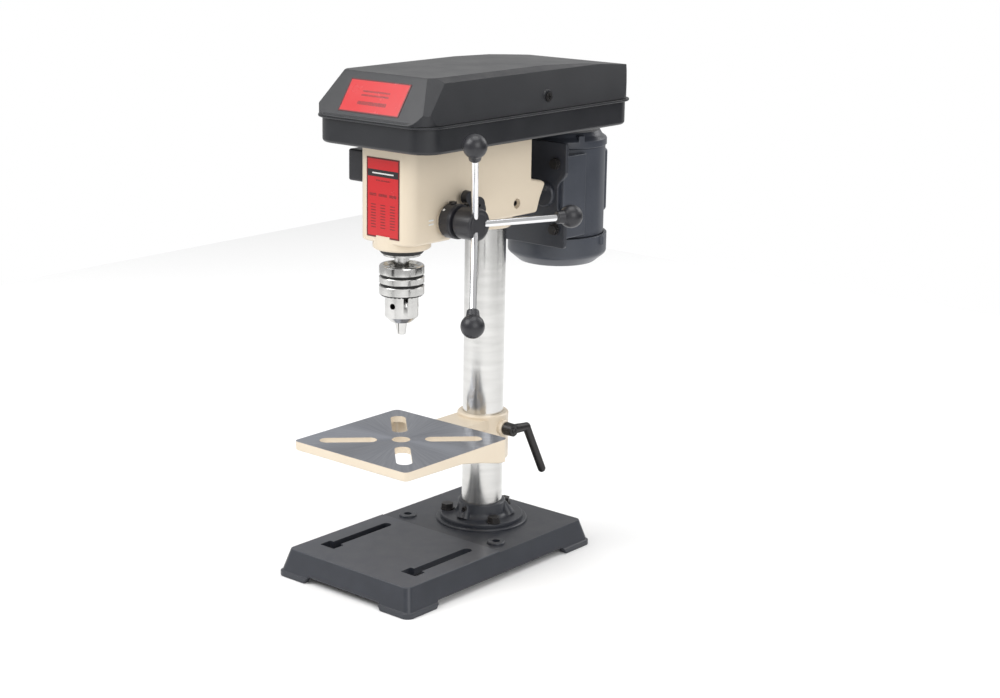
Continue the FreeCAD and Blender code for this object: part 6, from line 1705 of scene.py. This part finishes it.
@dataclass
class Switch:
    """The switch box on the head's left side with its two buttons."""

    wall: float = 2.0
    cap_radius: float = 7.0

    def build(self, paint: PaintShop) -> None:
        """Models and seats the box and its buttons."""
        low, high = extent("switch_box")
        face = low.x + 24
        box = Shape.block("switch_case", low, (face, high.y, high.z)).rounded(2.4, 4)
        foot = Shape.block("foot", (face - 1, low.y + 4, low.z + 4), (-37, high.y - 4, high.z - 4))
        box.plus(foot.less(Shape.prism(
            "head_side", [(-37, -113), (-42, 106), (0, 106), (0, -113)], Axis.Z, 400, 90)))
        box.less(Shape.block("inside", (low.x + self.wall, low.y + self.wall, low.z + self.wall),
                             (face - self.wall, high.y - self.wall, high.z - self.wall)))
        for name in ("start_button", "stop_button"):
            spot = middle(name)
            box.less(Shape.bar("hole", 7.4, (low.x - 6, spot.y, spot.z), (low.x + 6, spot.y,
                                                                        spot.z)))
            box.plus(Shape.lathe("bezel", [(7.5, -0.9), (9.2, -0.9), (9.8, 0), (9.8, 0.6),
                                           (7.5, 0.6)], (low.x, spot.y, spot.z), (1, 0, 0), 48))
        gland = middle("cable_gland")
        box.less(Shape.bar("gland_hole", 4.5, (gland.x, high.y - 5, gland.z),
                           (gland.x, high.y + 5, gland.z), sides=32))
        box.rounded(0.25, 2, 50).shade()
        box.paint(paint.get("knob_plastic")).fit(Body.STAND, "knob_plastic", "switch_box")
        self.button(paint, "start_button", "start_green", Body.START, 0.8)
        self.button(paint, "stop_button", "stop_red", Body.STOP, -0.6)

    def button(self, paint: PaintShop, node: str, slot: str, body: Body, crown: float) -> None:
        """A turned cap, dished for start and crowned for stop."""
        low, high = extent(node)
        spot = middle(node)
        r = self.cap_radius
        cap = Shape.lathe(node + "_cap", [
            (0, crown), (3, crown * 0.8), (5, crown * 0.3), (r - 1.2, 0), (r - 0.3, 0.4), (r, 1.2),
            (r, 6.4), (8.2, 6.4), (8.2, 8.4), (r, 8.4), (r, high.x - low.x), (0, high.x - low.x)]
            if crown > 0 else [
            (0, 0), (3, 0.1), (5, 0.5), (r - 1, 1.1), (r - 0.2, 1.8), (r, 2.6),
            (r, 6.4), (8.2, 6.4), (8.2, 8.4), (r, 8.4), (r, high.x - low.x), (0, high.x - low.x)],
            (low.x, spot.y, spot.z), (1, 0, 0), 48)
        cap.shade().paint(paint.get(slot)).fit(body, slot, node)


# ---------------------------------------------------------------- studio


@dataclass
class Studio:
    """A pale floor, soft lights, dark cards for the metal to mirror, and the camera."""

    floor_colour: Colour = (0.93, 0.93, 0.93)
    ambient: float = 0.55
    backdrop: float = 1.0
    eye: tuple[float, float, float] = (1.3406, -1.5456, 0.7747)
    aim: tuple[float, float, float] = (0.0, -0.022, 0.290)
    roll: float = 0.51
    lens: float = 69.05
    shift: tuple[float, float] = (0.05985, -0.0416)

    def build(self) -> None:
        """Sets out everything that isn't the press."""
        self.floor()
        self.world()
        self.light("key", (-1.0, -1.7, 2.1), 1.6, 42.0)
        self.light("fill", (2.1, -0.9, 1.3), 1.6, 20.0)
        self.light("top", (0.1, 0.1, 2.6), 1.8, 26.0)
        self.light("back", (0.6, 2.2, 1.6), 1.4, 14.0)
        self.card("dark_card", (-0.1, -2.4, 0.7), 0.6, 2.2)
        self.card("side_card", (1.25, 1.35, 0.25), 1.8, 1.1)
        self.camera()

    def floor(self) -> None:
        """The floor sheet."""
        Shape.clear()
        bpy.ops.mesh.primitive_plane_add(size=3.0, location=(0, 0, 0))
        sheet_obj = bpy.context.object
        sheet_obj.name = "floor"
        material = bpy.data.materials.new("pale floor")
        material.use_nodes = True
        main = material.node_tree.nodes["Principled BSDF"]
        main.inputs["Base Color"].default_value = (*self.floor_colour, 1.0)
        main.inputs["Roughness"].default_value = 0.9
        sheet_obj.data.materials.append(material)

    def world(self) -> None:
        """Even pale surroundings."""
        world = bpy.data.worlds.new("studio")
        world.use_nodes = True
        back = world.node_tree.nodes["Background"]
        back.inputs["Color"].default_value = (1.0, 1.0, 1.0, 1.0)
        nodes, links = world.node_tree.nodes, world.node_tree.links
        path = nodes.new("ShaderNodeLightPath")
        level = nodes.new("ShaderNodeMapRange")
        level.inputs["To Min"].default_value = self.ambient
        level.inputs["To Max"].default_value = self.backdrop
        links.new(path.outputs["Is Camera Ray"], level.inputs["Value"])
        links.new(level.outputs["Result"], back.inputs["Strength"])
        bpy.context.scene.world = world
        bpy.context.scene.view_settings.view_transform = "Standard"

    def light(self, name: str, place: Point, size: float, power: float) -> None:
        """One soft panel aimed at the press."""
        data = bpy.data.lights.new(name, "AREA")
        data.shape = "SQUARE"
        data.size = size
        data.energy = power
        lamp = bpy.data.objects.new(name, data)
        lamp.location = place
        lamp.rotation_mode = "QUATERNION"
        lamp.rotation_quaternion = (Vector((0, 0, 0.3)) - Vector(place)).to_track_quat("-Z", "Y")
        bpy.context.scene.collection.objects.link(lamp)

    def card(self, name: str, place: Point, width: float, height: float) -> None:
        """A dark card seen only in reflections."""
        Shape.clear()
        bpy.ops.mesh.primitive_plane_add(size=1.0, location=place)
        obj = bpy.context.object
        obj.name = name
        obj.scale = (width, height, 1.0)
        obj.rotation_mode = "QUATERNION"
        obj.rotation_quaternion = (Vector((0, 0, place[2])) - Vector(place)).to_track_quat("Z", "Y")
        material = bpy.data.materials.new(name)
        material.use_nodes = True
        material.node_tree.nodes["Principled BSDF"].inputs["Base Color"].default_value = (
            0.01, 0.01, 0.01, 1.0)
        obj.data.materials.append(material)
        obj.visible_camera = False
        obj.visible_shadow = False
        obj.visible_diffuse = False

    def camera(self) -> None:
        """The camera at the press's front right."""
        data = bpy.data.cameras.new("camera")
        data.lens = self.lens
        data.shift_x, data.shift_y = self.shift
        eye = bpy.data.objects.new("camera", data)
        eye.location = self.eye
        look = (Vector(self.aim) - Vector(self.eye)).to_track_quat("-Z", "Y")
        tilt = Matrix.Rotation(math.radians(self.roll), 3, "Z").to_quaternion()
        eye.rotation_mode = "QUATERNION"
        eye.rotation_quaternion = look @ tilt
        bpy.context.scene.collection.objects.link(eye)
        bpy.context.scene.camera = eye


@dataclass
class DrillPress:
    """The whole press, sub-assembly by sub-assembly."""

    base: BasePlate = field(default_factory=BasePlate)
    column: ColumnTube = field(default_factory=ColumnTube)
    table: WorkTable = field(default_factory=WorkTable)
    head: Head = field(default_factory=Head)
    feed: Feed = field(default_factory=Feed)
    chuck: Chuck = field(default_factory=Chuck)
    housing: BeltHousing = field(default_factory=BeltHousing)
    motor: Motor = field(default_factory=Motor)
    switch: Switch = field(default_factory=Switch)

    def build(self, paint: PaintShop) -> None:
        """Builds every sub-assembly in order."""
        for part in (self.base, self.column, self.table, self.head, self.feed, self.chuck,
                     self.housing, self.motor, self.switch):
            LOG.info("building %s", type(part).__name__)
            part.build(paint)


def save_sizes() -> None:
    """Brings the scene's transforms up to date."""
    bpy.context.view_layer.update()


def main() -> None:
    """Builds, dresses and lights the press."""
    logging.basicConfig(level=logging.INFO, format="%(message)s")
    paint = PaintShop(middle("spindle").y)
    paint.dress_frame()
    DrillPress().build(paint)
    Studio().build()
    save_sizes()


if __name__ == "__main__":
    main()
